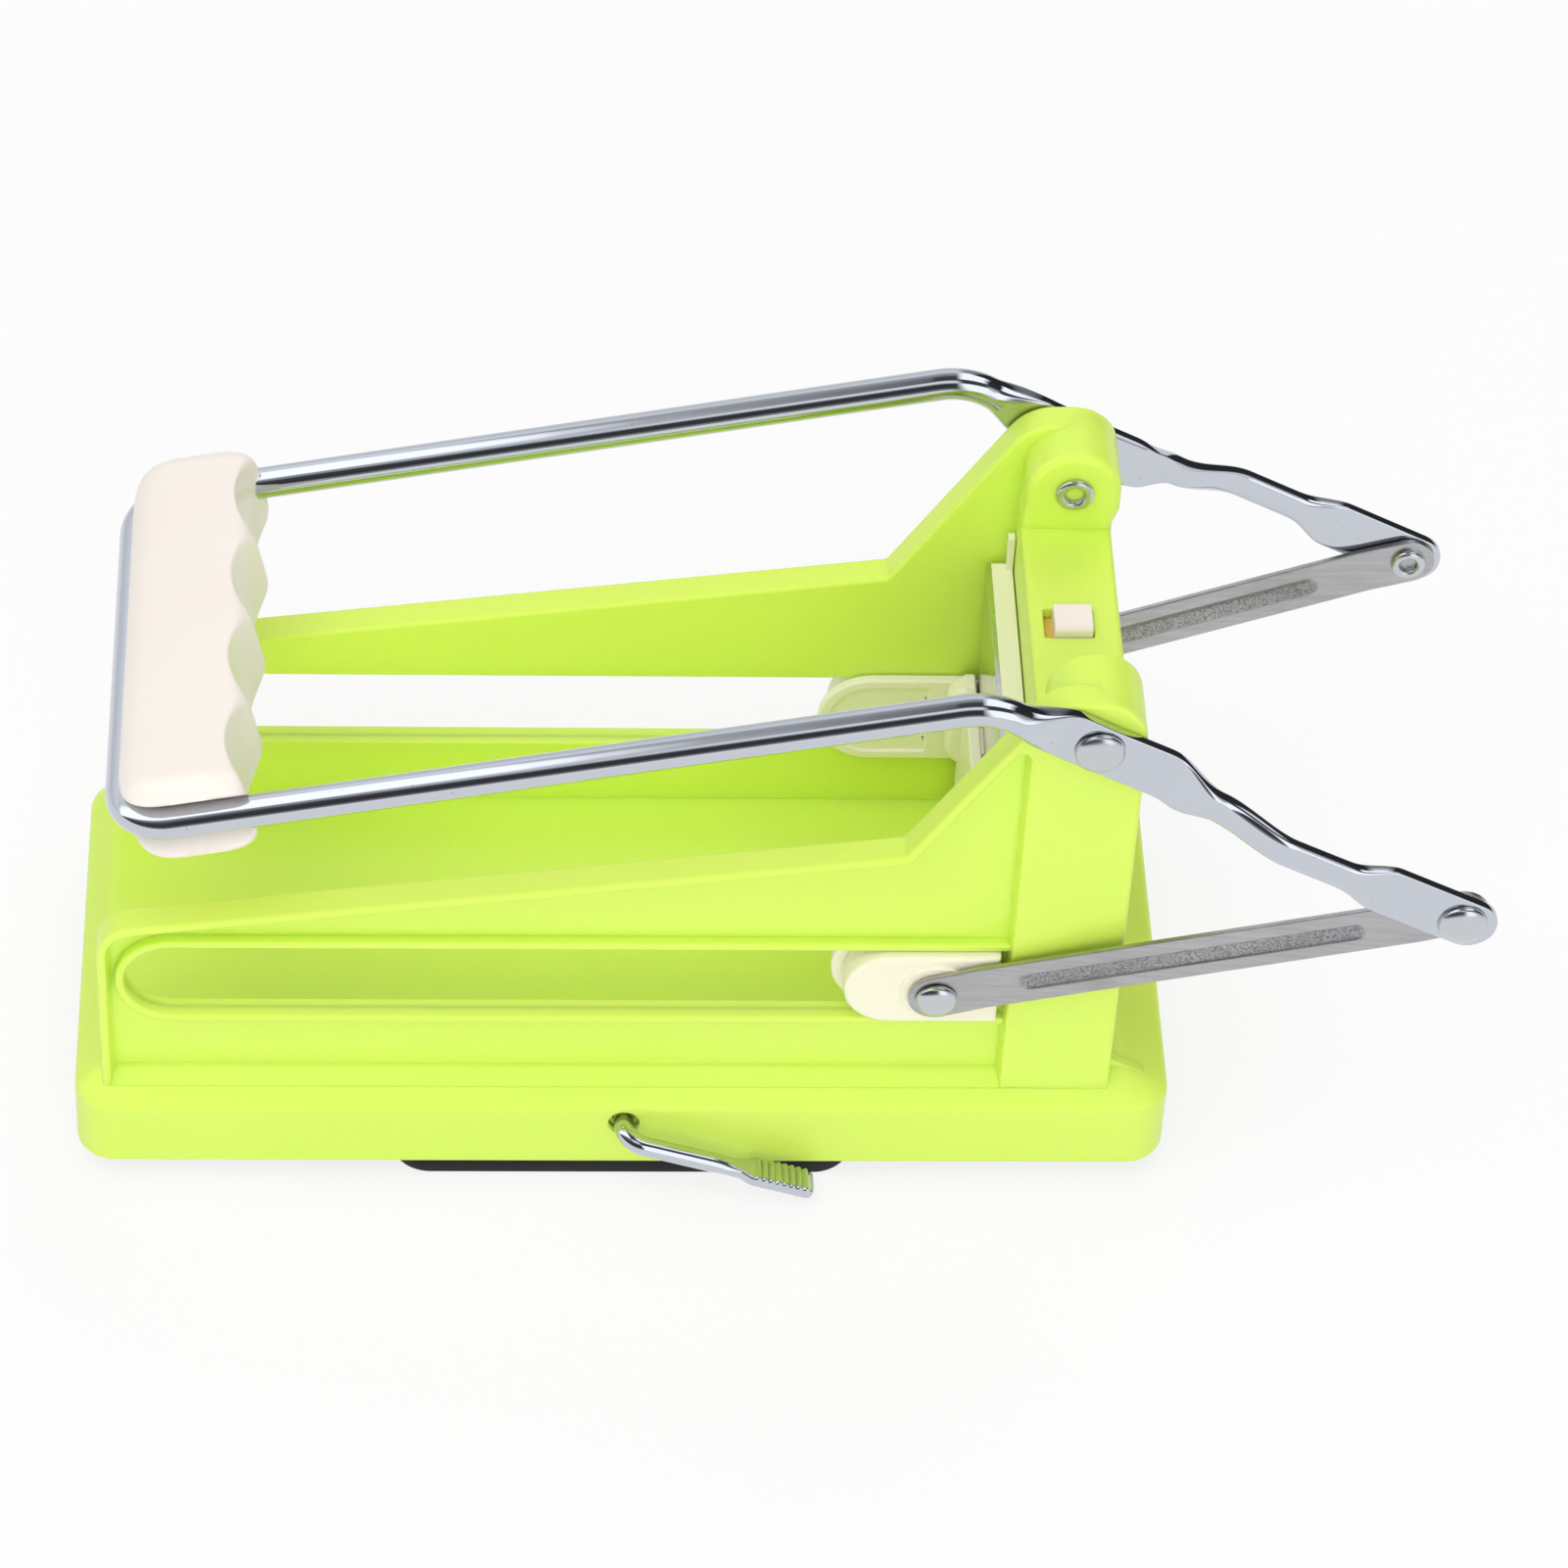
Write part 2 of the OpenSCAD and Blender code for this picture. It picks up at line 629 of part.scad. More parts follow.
// The two sets of blades cross at half-depth notches.
module upright_blades() stand() color([0.82, 0.83, 0.85]) difference() {
    x0 = front_x + front_t + snug;
    for (y = blade_ys()) box([x0, y - blade_t / 2, grid_low - seat],
        [x0 + blade_d, y + blade_t / 2, grid_low + grid_h + seat]);
    for (z = blade_zs()) box([x0 + half_deep, -grid_w, z - blade_t / 2 - snug],
        [x0 + blade_d + 1, grid_w, z + blade_t / 2 + snug]);
}

module level_blades() stand() color([0.82, 0.83, 0.85]) difference() {
    x0 = front_x + front_t + snug;
    for (z = blade_zs()) box([x0, -grid_w / 2 - seat, z - blade_t / 2],
        [x0 + blade_d, grid_w / 2 + seat, z + blade_t / 2]);
    for (y = blade_ys()) box([x0 - 1, y - blade_t / 2 - snug, 0],
        [x0 + half_deep + snug, y + blade_t / 2 + snug, cass_top]);
}

module latch_button() stand() color([0.97, 0.9, 0.86]) {
    top = bridge_top + button_up;
    low = cass_in_top + guide_h + button_travel + gap;
    mid_x = button_x + button_l / 2;
    difference() {
        box([button_x, -button_w / 2, low], [button_x + button_l, button_w / 2, top]);
        // A shallow bevel along the two long edges.
        for (s = [-1, 1]) translate([mid_x, s * button_w / 2, top]) rotate([45, 0, 0])
            cube([button_l + 2, 1, 1], center = true);
    }
    box([mid_x - stem_t / 2, -stem_w / 2, stem_low], [mid_x + stem_t / 2, stem_w / 2, low + eps]);
}

// ---------- handle ----------

module pivot_rivets() stand() color("silver") both_sides() {
    head_y = flat_in + flat_t + 0.15;
    rivet_head(pivot, head_r, head_y);
    bar_y(pivot, pivot_rivet_r, ear_in - 0.4, head_y + eps);
    rivet_tail(pivot, pivot_rivet_r + 1.35, ear_in - 0.02, 1.3);
}

// Frame of the rails: x along the rail from the cross bar.
module on_rail() translate([bar_pt[0], 0, bar_pt[1]]) rotate([0, -rail_slope, 0]) children();

// Frame of the crank arm: x from the pivot, falling by a degrees.
module on_arm(a = crank_a) translate([pivot_x, 0, pivot_h]) rotate([0, a, 0]) children();

module rail_wires(grow = 0) {
    r = rod_r + grow;
    on_rail() {
        bar_y([0, 0], r - thin, -rail_y + corner_r - into, rail_y - corner_r + into);
        both_sides() {
            translate([corner_r, rail_y - corner_r, 0]) rotate([0, 0, 90])
                rotate_extrude(angle = 90) translate([corner_r, 0]) circle(r);
            translate([corner_r - into, rail_y, 0]) rotate([0, 90, 0])
                cylinder(r = r - thin, h = rail_l - corner_r - bend_tan + 2 * into);
        }
    }
}

// The wire is pressed flat at the pivot, flush with its inner side, and again at the link.
module crank_arm() {
    w = flat_w / 2;
    end = crank_l + tip_l;
    tip_r = 3.5;
    taper_x = -bend_back + bend_tan - into;
    flat_0 = -6.5;
    flat_end = 15;
    neck_0 = 26;
    neck_1 = crank_l - tip_flat - neck_fade;
    flat_1 = crank_l - tip_flat;
    clear_x = crank_l - neck_run;
    neck_t = 3.5;
    on_arm(bend_fall) intersection() {
        translate([taper_x, rail_y, 0]) rotate([0, 90, 0])
            cylinder(r1 = rod_r - thin, r2 = w - 0.1, h = flat_0 + 1 - taper_x);
        linear_extrude(4 * flat_w, center = true) polygon([
            [taper_x - 1, rail_y - rod_r - 0.4], [flat_0 + 2, flat_in + 0.1],
            [flat_0 + 2, flat_in + flat_t - 0.5], [taper_x - 1, rail_y + rod_r + 0.6]]);
    }
    on_arm() intersection() {
        across(0, rail_y * 2) {
            polygon([
                [flat_0 - 1, 1.2 - w], [flat_0 + 1, -w], [flat_end + 4, -w], [neck_0, -rod_r],
                [neck_1, -rod_r],
                [flat_1, -w], [end - tip_r, -w], [end, tip_r - w], [end, w - tip_r], [end - tip_r, w],
                [flat_1, w], [neck_1, rod_r], [neck_0, rod_r], [flat_end - 2, w], [flat_0 + 1, w],
                [flat_0 - 1, w - 1.2]]);
            for (s = [-1, 1]) translate([end - tip_r, s * (w - tip_r)]) circle(tip_r);
        }
        linear_extrude(4 * flat_w, center = true) polygon([
            [flat_0 - 2, flat_in], [flat_end, flat_in], [neck_0, flat_in + 2.4], [clear_x, arm_in],
            [end + 1, arm_in], [end + 1, arm_in + flat_t], [flat_1, arm_in + flat_t],
            [neck_1, arm_in + neck_t], [clear_x, arm_in + neck_t], [neck_0, flat_in + 3 + neck_t],
            [flat_end, flat_in + flat_t], [flat_0 - 2, flat_in + flat_t]]);
    }
}

module handle_wire() stand() color([0.8, 0.8, 0.82]) difference() {
    union() {
        rail_wires();
        both_sides() {
            on_rail() translate([rail_l - bend_tan, rail_y, -bend_r]) rotate([90, 0, 0])
                rotate([0, 0, 90 - bend_a]) rotate_extrude(angle = bend_a)
                    translate([bend_r, 0]) circle(rod_r);
            crank_arm();
        }
    }
    both_sides() {
        bar_y(pivot, pivot_rivet_r + run, ear_in, rail_y * 2);
        bar_y(crank_end, link_rivet_r + 0.03, ear_in, rail_y * 2);
    }
}

// The grip lies inside the wire's loop, with the wire half sunk round three of its sides.
module handle_grip() stand() color([0.97, 0.93, 0.87]) difference() {
    x1 = grip_w + grip_set;
    end_y = rail_y + grip_past;
    edge = 5;
    turn = corner_r + grip_past;
    pitch = 2 * (end_y - grip_margin) / hollows;
    hollow_r = (pitch * pitch / 4 + hollow_d * hollow_d) / (2 * hollow_d);
    on_rail() difference() {
        intersection() {
            across(-end_y - 1, end_y + 1) translate([x1 - grip_w / 2, 0]) rounded_rect(grip_w, grip_h, edge);
            translate([0, 0, -grip_h]) linear_extrude(2 * grip_h) {
                translate([corner_r, -end_y]) square([x1 - corner_r - edge, 2 * end_y]);
                translate([grip_set, corner_r - rail_y]) square([grip_w, 2 * (rail_y - corner_r)]);
                for (s = [-1, 1]) {
                    translate([corner_r, s * (rail_y - corner_r)]) circle(turn);
                    translate([x1 - edge, s * (end_y - edge)]) circle(edge);
                }
                translate([x1 - edge - 1, edge - end_y]) square([edge + 1, 2 * (end_y - edge)]);
            }
        }
        for (i = [0 : hollows - 1])
            translate([x1 - hollow_d + hollow_r, (i - (hollows - 1) / 2) * pitch, -grip_h])
                cylinder(r = hollow_r, h = 2 * grip_h, $fn = 128);
    }
    rail_wires(snug);
}

module link_rivet_heads() stand() color("silver") both_sides() {
    rivet_head(crank_end, head_r, arm_in + flat_t);
    bar_y(crank_end, link_rivet_r, arm_in + 0.05, arm_in + flat_t + eps);
}

// ---------- links ----------

// Frame of a link: x from the pusher rivet to the handle rivet.
module on_link() translate([pin[0], 0, pin[1]]) rotate([0, -link_a, 0]) children();

// A band that follows the link's set-out shape, from its inner face plus y0 to plus y1.
module link_band(y0, y1) linear_extrude(4 * link_w, center = true) polygon([
    [-link_w, link_in_0 + y0], [link_flat, link_in_0 + y0],
    [link_l - link_flat, link_in_1 + y0], [link_l + link_w, link_in_1 + y0],
    [link_l + link_w, link_in_1 + y1], [link_l - link_flat, link_in_1 + y1],
    [link_flat, link_in_0 + y1], [-link_w, link_in_0 + y1]]);

module link_bar() difference() {
    bead_0 = link_l * 0.18;
    bead_1 = link_l * 0.8;
    bead_r = 1.9;
    on_link() {
        difference() {
            intersection() {
                across(0, rail_y * 2) stadium(0, link_l, link_w / 2);
                link_band(0, link_t);
            }
            intersection() {
                across(0, rail_y * 2) stadium(bead_0, bead_1, bead_r);
                link_band(link_t - bead_d, link_t + 1);
            }
        }
        intersection() {
            across(0, rail_y * 2) stadium(bead_0, bead_1, bead_r + 0.4);
            link_band(-bead_d, eps);
        }
    }
    bar_y(pin, link_rivet_r + run, 0, rail_y * 2);
    bar_y(crank_end, link_rivet_r + 0.03, 0, rail_y * 2);
}

module link_rivet_tail() {
    bar_y(crank_end, link_rivet_r, link_in_1 - 0.4, link_in_1 + link_t);
    rivet_tail(crank_end, link_rivet_r + 1.45, link_in_1 - 0.02, 1.3);
}

module link_far() stand() color([0.62, 0.62, 0.63]) link_bar();
module link_near() mirror([0, 1, 0]) link_far();
module link_rivet_tail_far() stand() color("silver") link_rivet_tail();
module link_rivet_tail_near() mirror([0, 1, 0]) link_rivet_tail_far();

// ---------- pusher ----------

module pusher_plate() stand() color([0.96, 0.94, 0.84]) {
    half = wall_in - gap - flange_t;
    cheek_l = 5.7;
    cheek_w = 5.6;
    cheek_r = 4;
    box([push_x - plate_t, -half, floor_h + gap], [push_x, half, plate_top]);
    both_sides() across(half - cheek_w, half) translate([push_x - cheek_l, slot_mid - cheek_h]) {
        translate([cheek_r, 0]) square([cheek_l - cheek_r, 2 * cheek_h]);
        translate([0, cheek_r]) square([cheek_l, 2 * (cheek_h - cheek_r)]);
        for (z = [cheek_r, 2 * cheek_h - cheek_r]) intersection() {
            translate([cheek_r, z]) circle(cheek_r);
            translate([0, z - cheek_r]) square([cheek_l, 2 * cheek_r]);
        }
    }
    for (i = [0 : cols - 1], j = [0 : rows - 1]) {
        y = (i - (cols - 1) / 2) * cell - peg / 2;
        translate([push_x - eps, y, grid_low + (j + 0.5) * cell - peg / 2])
            cube([gap + front_t + blade_d + snug, peg, peg]);
    }
}

module shoe_outline(r, x0, x1) {
    translate([pin[0] - x0 + r, pin[1] - r]) square([x0 + x1 - r, 2 * r]);
    translate([pin[0] - x0 + r, pin[1]]) circle(r);
}

module slide_shoe() difference() {
    out = wall_in - gap;
    cup_r = 5;
    union() {
        across(out - flange_t, out) shoe_outline(flange_h, shoe_back + 2.3, pin_setback - 2);
        across(out - eps, shoe_y) shoe_outline(slot_r - gap, shoe_back, shoe_front);
        bar_y(pin, cup_r + 2.2, out, shoe_boss_y);
    }
    // A shallow panel in the flange, and the recess of the rivet's tail.
    across(out - flange_t - 1, out - flange_t + 0.7) shoe_outline(flange_h - 2.2, shoe_back, 2);
    bar_y(pin, cup_r, out - flange_t - 1, out + cup_deep);
    bar_y(pin, link_rivet_r + 0.03, 0, rail_y * 2);
}

module slide_shoe_far() stand() color([0.97, 0.95, 0.88]) slide_shoe();
module slide_shoe_near() mirror([0, 1, 0]) slide_shoe_far();

module pusher_rivets() stand() color("silver") both_sides() {
    seat_y = wall_in - gap + cup_deep;
    head_y = link_in_0 + link_t + 0.15;
    rivet_head(pin, pin_head_r, head_y);
    bar_y(pin, link_rivet_r, seat_y - 0.4, head_y + eps);
    rivet_tail(pin, link_rivet_r + 1.3, seat_y - 0.02, 1.2);
}

base_body();
suction_pad();
pad_carrier();
carrier_screws();
pad_stud();
suction_lever();
blade_cassette();
cassette_front_plate();
front_plate_screws();
upright_blades();
level_blades();
latch_button();
pivot_rivets();
handle_wire();
handle_grip();
link_rivet_heads();
link_near();
link_far();
link_rivet_tail_near();
link_rivet_tail_far();
pusher_plate();
slide_shoe_near();
slide_shoe_far();
pusher_rivets();
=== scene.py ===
"""Looks of a lever-action potato chipper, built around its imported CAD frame.

Sizes in the classes are millimetres, and heights are counted from the skirt's lower edge, as in the
part's own source. Shell.piece() turns them into metres above the table.
"""

import logging
import math
from dataclasses import dataclass
from enum import Enum
from typing import Sequence

import bmesh
import bpy
import numpy as np
from mathutils import Matrix, Vector
from mathutils.geometry import delaunay_2d_cdt


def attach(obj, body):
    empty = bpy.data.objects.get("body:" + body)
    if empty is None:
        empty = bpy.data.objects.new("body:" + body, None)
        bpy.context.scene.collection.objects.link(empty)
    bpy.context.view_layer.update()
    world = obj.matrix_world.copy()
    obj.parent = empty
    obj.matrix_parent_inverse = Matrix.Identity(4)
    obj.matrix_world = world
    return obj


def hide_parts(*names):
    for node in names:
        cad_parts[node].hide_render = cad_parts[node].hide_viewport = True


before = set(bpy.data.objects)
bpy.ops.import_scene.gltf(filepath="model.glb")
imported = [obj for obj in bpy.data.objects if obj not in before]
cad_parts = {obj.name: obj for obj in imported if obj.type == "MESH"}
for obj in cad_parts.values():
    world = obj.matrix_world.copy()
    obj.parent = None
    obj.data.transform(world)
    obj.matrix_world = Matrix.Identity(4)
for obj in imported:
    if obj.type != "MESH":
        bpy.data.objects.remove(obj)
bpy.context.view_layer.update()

Array = np.ndarray
Colour = tuple[float, float, float]
Socket = bpy.types.NodeSocket
Fed = Socket | Colour | float
log = logging.getLogger("chipper")

MM = 0.001
STAND = 4.5  # height of the skirt's lower edge above the table, mm
WELD = 2e-6  # distance at which seams are closed, m
CAP_WELD = 1e-7  # distance at which a cap's corners are one, mm
OVERRUN = 1.02  # a rounded edge's profile runs this share of its radius into the face

# places that several sub-assemblies share
PIVOT = (88.0, 117.0)  # handle's axis, as (x, z)
PIN = (60.9, 47.2)  # pusher rivet at rest, as (x, z)
RISE = 17.15  # slope of the links at rest, degrees
AXLE = 11.8  # height of the suction lever's axis
EAR_IN = 27.2  # inner side of the ears
DECK_LOW = 18.4  # lower side of the deck


# ---------- shapes ----------


class Plane(Enum):
    """The plane that an outline is drawn in, as (first axis, second axis, level axis)."""

    SIDE = (0, 2, 1)
    TOP = (0, 1, 2)
    END = (1, 2, 0)

    def place(self, flat: Array, level: Array | float) -> Array:
        """Puts flat points into space.

        Args:
            flat: points of the outline, two numbers each.
            level: distance across the plane, one number or one for each point.

        Returns:
            The same points with three numbers each.
        """
        first, second, across = self.value
        out = np.empty(flat.shape[:-1] + (3,))
        out[..., first] = flat[..., 0]
        out[..., second] = flat[..., 1]
        out[..., across] = level
        return out


def unit(v: Array) -> Array:
    """Vectors divided by their own length."""
    return v / np.maximum(np.linalg.norm(v, axis=-1, keepdims=True), 1e-12)


def ease(x: Array, at: Sequence[float], value: Sequence[float]) -> Array:
    """Value along x that turns smoothly from knot to knot.

    Between two knots the share t of the way becomes t squared times (3 - 2 t).

    Args:
        x: where the value is wanted.
        at: places of the knots, rising.
        value: values at the knots.

    Returns:
        One value for each x.
    """
    at_, value_ = np.asarray(at, float), np.asarray(value, float)
    i = np.clip(np.searchsorted(at_, x) - 1, 0, len(at_) - 2)
    t = np.clip((x - at_[i]) / (at_[i + 1] - at_[i]), 0, 1)
    return value_[i] + (value_[i + 1] - value_[i]) * t * t * (3 - 2 * t)


def fillet(points: Array, radii: Array, steps: int, closed: bool) -> Array:
    """Rounds the corners of a flat path.

    A corner with turning angle q and radius r becomes an arc that starts r tan(q/2) before it, about
    the point that lies r square off the incoming line on the side of the turn.

    Args:
        points: corners of the path, two numbers each.
        radii: radius of each corner.
        steps: points on each arc.
        closed: whether the last corner joins the first.

    Returns:
        Points of the rounded path, steps for each corner; an open path keeps its two ends.
    """
    ends = (points[:1], points[-1:]) if not closed else (points[:0], points[:0])
    before, after = np.roll(points, 1, 0), np.roll(points, -1, 0)
    if not closed:
        before, after, radii = before[1:-1], after[1:-1], radii[1:-1]
        points = points[1:-1]
    go_in, go_out = unit(points - before), unit(after - points)
    turn = np.arctan2(
        go_in[:, 0] * go_out[:, 1] - go_in[:, 1] * go_out[:, 0], (go_in * go_out).sum(1)
    )
    start = points - go_in * (radii * np.tan(np.abs(turn) / 2))[:, None]
    side = np.stack([-go_in[:, 1], go_in[:, 0]], 1) * np.sign(turn)[:, None]
    centre = start + side * radii[:, None]
    spoke = start - centre
    angle = np.arctan2(spoke[:, 1], spoke[:, 0])[:, None] + turn[:, None] * np.linspace(0, 1, steps)
    arcs = centre[:, None] + radii[:, None, None] * np.stack([np.cos(angle), np.sin(angle)], -1)
    return np.concatenate([ends[0], arcs.reshape(-1, 2), ends[1]])


def profile(points: Sequence[tuple[float, float]], radius: float, steps: int = 4) -> Array:
    """Open edge profile as (growth, level) pairs, with every inner corner rounded by one radius."""
    flat = np.asarray(points, float)
    return fillet(flat, np.full(len(flat), radius), steps, closed=False)


def slab_edge(edge: float, low: float, high: float, overrun: float = OVERRUN, steps: int = 4) -> Array:
    """Edge profile of a slab from one level to another, with both edges rounded by one radius."""
    back = -edge * overrun
    return profile([(back, low), (0, low), (0, high), (back, high)], edge, steps)


def along(line: Array) -> Array:
    """Distance of each point of a line from its start, measured along it."""
    return np.concatenate([[0], np.cumsum(np.linalg.norm(np.diff(line, axis=0), axis=1))])


@dataclass(frozen=True)
class Outline:
    """Closed flat outline of straight lines with rounded corners, counter-clockwise."""

    corners: tuple[tuple[float, float], ...]
    radii: tuple[float, ...]
    steps: int = 8

    @staticmethod
    def rect(
        a0: float, a1: float, b0: float, b1: float, r: float | tuple[float, ...], steps: int = 8
    ) -> "Outline":
        """Rectangle from a0 to a1 and b0 to b1, with one radius or one for each corner."""
        radii = r if isinstance(r, tuple) else (r,) * 4
        return Outline(((a0, b0), (a1, b0), (a1, b1), (a0, b1)), radii, steps)

    @staticmethod
    def disc(a: float, b: float, r: float, steps: int = 10) -> "Outline":
        """Circle about (a, b), as a square whose corners are rounded by its half side."""
        return Outline.rect(a - r, a + r, b - r, b + r, r, steps)

    def ring(self, grow: float = 0.0) -> Array:
        """Points of the outline moved outwards.

        Each line moves by grow along its normal. An outer corner's radius gains grow, and an inner
        corner's loses it.

        Args:
            grow: distance outwards, negative for inwards.

        Returns:
            Points, two numbers each, as many for any growth.
        """
        p = np.asarray(self.corners, float)
        edge = unit(np.roll(p, -1, 0) - p)
        normal = np.stack([edge[:, 1], -edge[:, 0]], 1)
        last = np.roll(normal, 1, 0)
        miter = (normal + last) / (1 + (normal * last).sum(1, keepdims=True))
        back = np.roll(edge, 1, 0)
        outer = np.sign(back[:, 0] * edge[:, 1] - back[:, 1] * edge[:, 0])
        radii = np.maximum(np.asarray(self.radii) + grow * outer, 0.01)
        return fillet(p + grow * miter, radii, self.steps, closed=True)


def inside(points: Array, loops: Sequence[Array]) -> Array:
    """Which points lie inside the loops, by the even-odd rule over all their edges."""
    a = np.concatenate(loops)
    b = np.concatenate([np.roll(loop, -1, 0) for loop in loops])
    x, y = points[:, :1], points[:, 1:]
    spans = (a[:, 1] > y) != (b[:, 1] > y)
    rise = np.where(np.abs(b[:, 1] - a[:, 1]) < 1e-12, 1e-12, b[:, 1] - a[:, 1])
    crossing = a[:, 0] + (y - a[:, 1]) * (b[:, 0] - a[:, 0]) / rise
    return (spans & (x < crossing)).sum(1) % 2 == 1


class Shell:
    """Collects the surfaces of one piece, in millimetres, and makes them one object."""

    def __init__(self, name: str) -> None:
        """Starts an empty shell with the piece's name."""
        self.name = name
        self.points: list[Array] = []
        self.faces: list[Array] = []
        self.marks: list[Array] = []
        self.count = 0

    def _add(self, points: Array, faces: Array, mark: Array | None = None) -> None:
        """Adds points and the faces that count from the first of them."""
        self.points.append(points.reshape(-1, 3))
        self.faces.append(faces + self.count)
        n = len(self.points[-1])
        self.marks.append(np.zeros(n) if mark is None else np.broadcast_to(mark.reshape(-1), n))
        self.count += n

    def grid(self, points: Array, closed: bool = True, mark: Array | None = None) -> None:
        """Adds a grid of four-sided faces.

        Args:
            points: positions, [rows, columns, 3].
            closed: whether the last column joins the first.
            mark: one number for each point, kept as the attribute "mark".
        """
        rows, columns = points.shape[:2]
        i = np.arange(rows * columns).reshape(rows, columns)
        i = np.concatenate([i, i[:, :1]], 1) if closed else i
        quads = np.stack([i[:-1, :-1], i[1:, :-1], i[1:, 1:], i[:-1, 1:]], -1).reshape(-1, 4)
        self._add(points, quads, mark)

    def cap(self, loops: Sequence[Array], level: float, plane: Plane) -> None:
        """Adds the flat area between an outer loop and its holes, in triangles.

        The triangles are the constrained Delaunay ones whose middles lie inside by the even-odd rule.

        Args:
            loops: flat closed loops.
            level: distance across the plane.
            plane: the plane of the loops.
        """
        sizes = [len(loop) for loop in loops]
        starts = np.cumsum([0] + sizes[:-1])
        edges = np.concatenate(
            [s + np.stack([np.arange(n), (np.arange(n) + 1) % n], 1) for s, n in zip(starts, sizes)]
        )
        flat = np.concatenate(loops)
        found = delaunay_2d_cdt([Vector(p) for p in flat.tolist()], edges.tolist(), [], 0, CAP_WELD)
        corners = np.array([tuple(v) for v in found[0]])
        tris = np.array([t for t in found[2] if len(t) == 3])
        tris = tris[inside(corners[tris].mean(1), loops)]
        self._add(plane.place(corners, level), tris)

    def rings(self, outline: Outline, edge: Array, plane: Plane) -> None:
        """Carries an edge profile along an outline.

        Args:
            outline: the path.
            edge: (growth, level) pairs, one ring for each.
            plane: the outline's plane.
        """
        self.grid(np.stack([plane.place(outline.ring(growth), level) for growth, level in edge]))

    def block(
        self,
        outline: Outline,
        low: float,
        high: float,
        plane: Plane,
        edge: float,
        holes: Sequence[Outline] = (),
    ) -> None:
        """Adds a closed block with rounded edges, and holes through it.

        Args:
            outline: outer outline.
            low: level of one face.
            high: level of the other.
            plane: the outline's plane.
            edge: radius of the edges.
            holes: outlines of holes.
        """
        turn = slab_edge(edge, low, high, 1.01)
        self.rings(outline, turn, plane)
        for hole in holes:
            self.rings(hole, turn * [-1, 1], plane)
        back = turn[0, 0]
        for level in (low, high):
            self.cap([outline.ring(back)] + [hole.ring(-back) for hole in holes], level, plane)

    def tube(self, centre: Array, up: Array, side: Array, section: Array, mark: Array | None = None) -> None:
        """Adds a closed tube whose section may change along it.

        A point is centre + up times the section's first number + side times its second. The ends
        are closed with a fan to the middle of the last section.

        Args:
            centre: points of the centre line, [n, 3].
            up: first direction of each section, [n, 3].
            side: second direction of each section, [n, 3].
            section: offsets in these directions, [n, m, 2].
            mark: one number for each ring.
        """
        p = centre[:, None] + section[..., :1] * up[:, None] + section[..., 1:] * side[:, None]
        ends = [np.repeat(p[k].mean(0)[None, None], p.shape[1], 1) for k in (0, -1)]
        p = np.concatenate([ends[0], p, ends[1]])
        spread = None
        if mark is not None:
            spread = np.repeat(np.concatenate([mark[:1], mark, mark[-1:]])[:, None], p.shape[1], 1)
        self.grid(p, mark=spread)

    def turned(self, spokes: Array, centre: tuple[float, float], steps: int = 40) -> None:
        """Adds a shape turned about an axis along Y.

        A profile point (r, y) at angle q becomes (cx + r cos q, y, cz + r sin q).

        Args:
            spokes: (radius, y) pairs from one end of the axis to the other.
            centre: (x, z) of the axis.
            steps: points round the axis.
        """
        q = np.linspace(0, 2 * math.pi, steps, endpoint=False)
        r, y = spokes[:, :1], spokes[:, 1:]
        self.grid(np.stack([centre[0] + r * np.cos(q), y + 0 * q, centre[1] + r * np.sin(q)], -1))

    def mirrored(self, name: str) -> "Shell":
        """The same shell on the other side of the tray, under another name."""
        twin = Shell(name)
        twin.points = [p * [1, -1, 1] for p in self.points]
        twin.faces, twin.marks, twin.count = list(self.faces), list(self.marks), self.count
        return twin

    def both(self) -> "Shell":
        """Adds the shell's own mirror image to it."""
        for points, faces, mark in list(zip(self.points, self.faces, self.marks)):
            low = faces.min()
            self._add(points * [1, -1, 1], faces - low, mark)
        return self

    def object(self, smooth: float = 38.0, keep_marks: bool = False) -> bpy.types.Object:
        """Makes the object, with closed seams and faces that point outwards.

        Args:
            smooth: edges that turn by more degrees than this stay sharp.
            keep_marks: whether the marks are kept as the attribute "mark".

        Returns:
            The object, at the origin.
        """
        mesh = bpy.data.meshes.new(self.name)
        points = (np.concatenate(self.points) + [0, 0, STAND]) * MM
        faces = [f for block in self.faces for f in block.tolist()]
        mesh.from_pydata(points.tolist(), [], faces)
        if keep_marks:
            layer = mesh.attributes.new("mark", "FLOAT", "POINT")
            layer.data.foreach_set("value", np.concatenate(self.marks).astype(np.float32))
        bm = bmesh.new()
        bm.from_mesh(mesh)
        bmesh.ops.remove_doubles(bm, verts=bm.verts, dist=WELD)
        bmesh.ops.dissolve_degenerate(bm, dist=WELD, edges=bm.edges)
        bmesh.ops.recalc_face_normals(bm, faces=bm.faces)
        bm.to_mesh(mesh)
        bm.free()
        mesh.shade_smooth()
        mesh.set_sharp_from_angle(angle=math.radians(smooth))
        obj = bpy.data.objects.new(self.name, mesh)
        bpy.context.scene.collection.objects.link(obj)
        even = obj.modifiers.new("even_normals", "WEIGHTED_NORMAL")
        even.keep_sharp = True
        even.weight = 100
        return obj

    def piece(
        self,
        body: str,
        finish: "Finish",
        stands_for: Sequence[str] = (),
        smooth: float = 38.0,
        keep_marks: bool = False,
    ) -> None:
        """Makes the object, dresses it and hangs it on its body.

        Args:
            body: the body that it moves with.
            finish: its finish.
            stands_for: CAD nodes that it replaces.
            smooth: edges that turn by more degrees than this stay sharp.
            keep_marks: whether the marks are kept as an attribute.
        """
        settle(self.object(smooth, keep_marks), body, finish, stands_for)


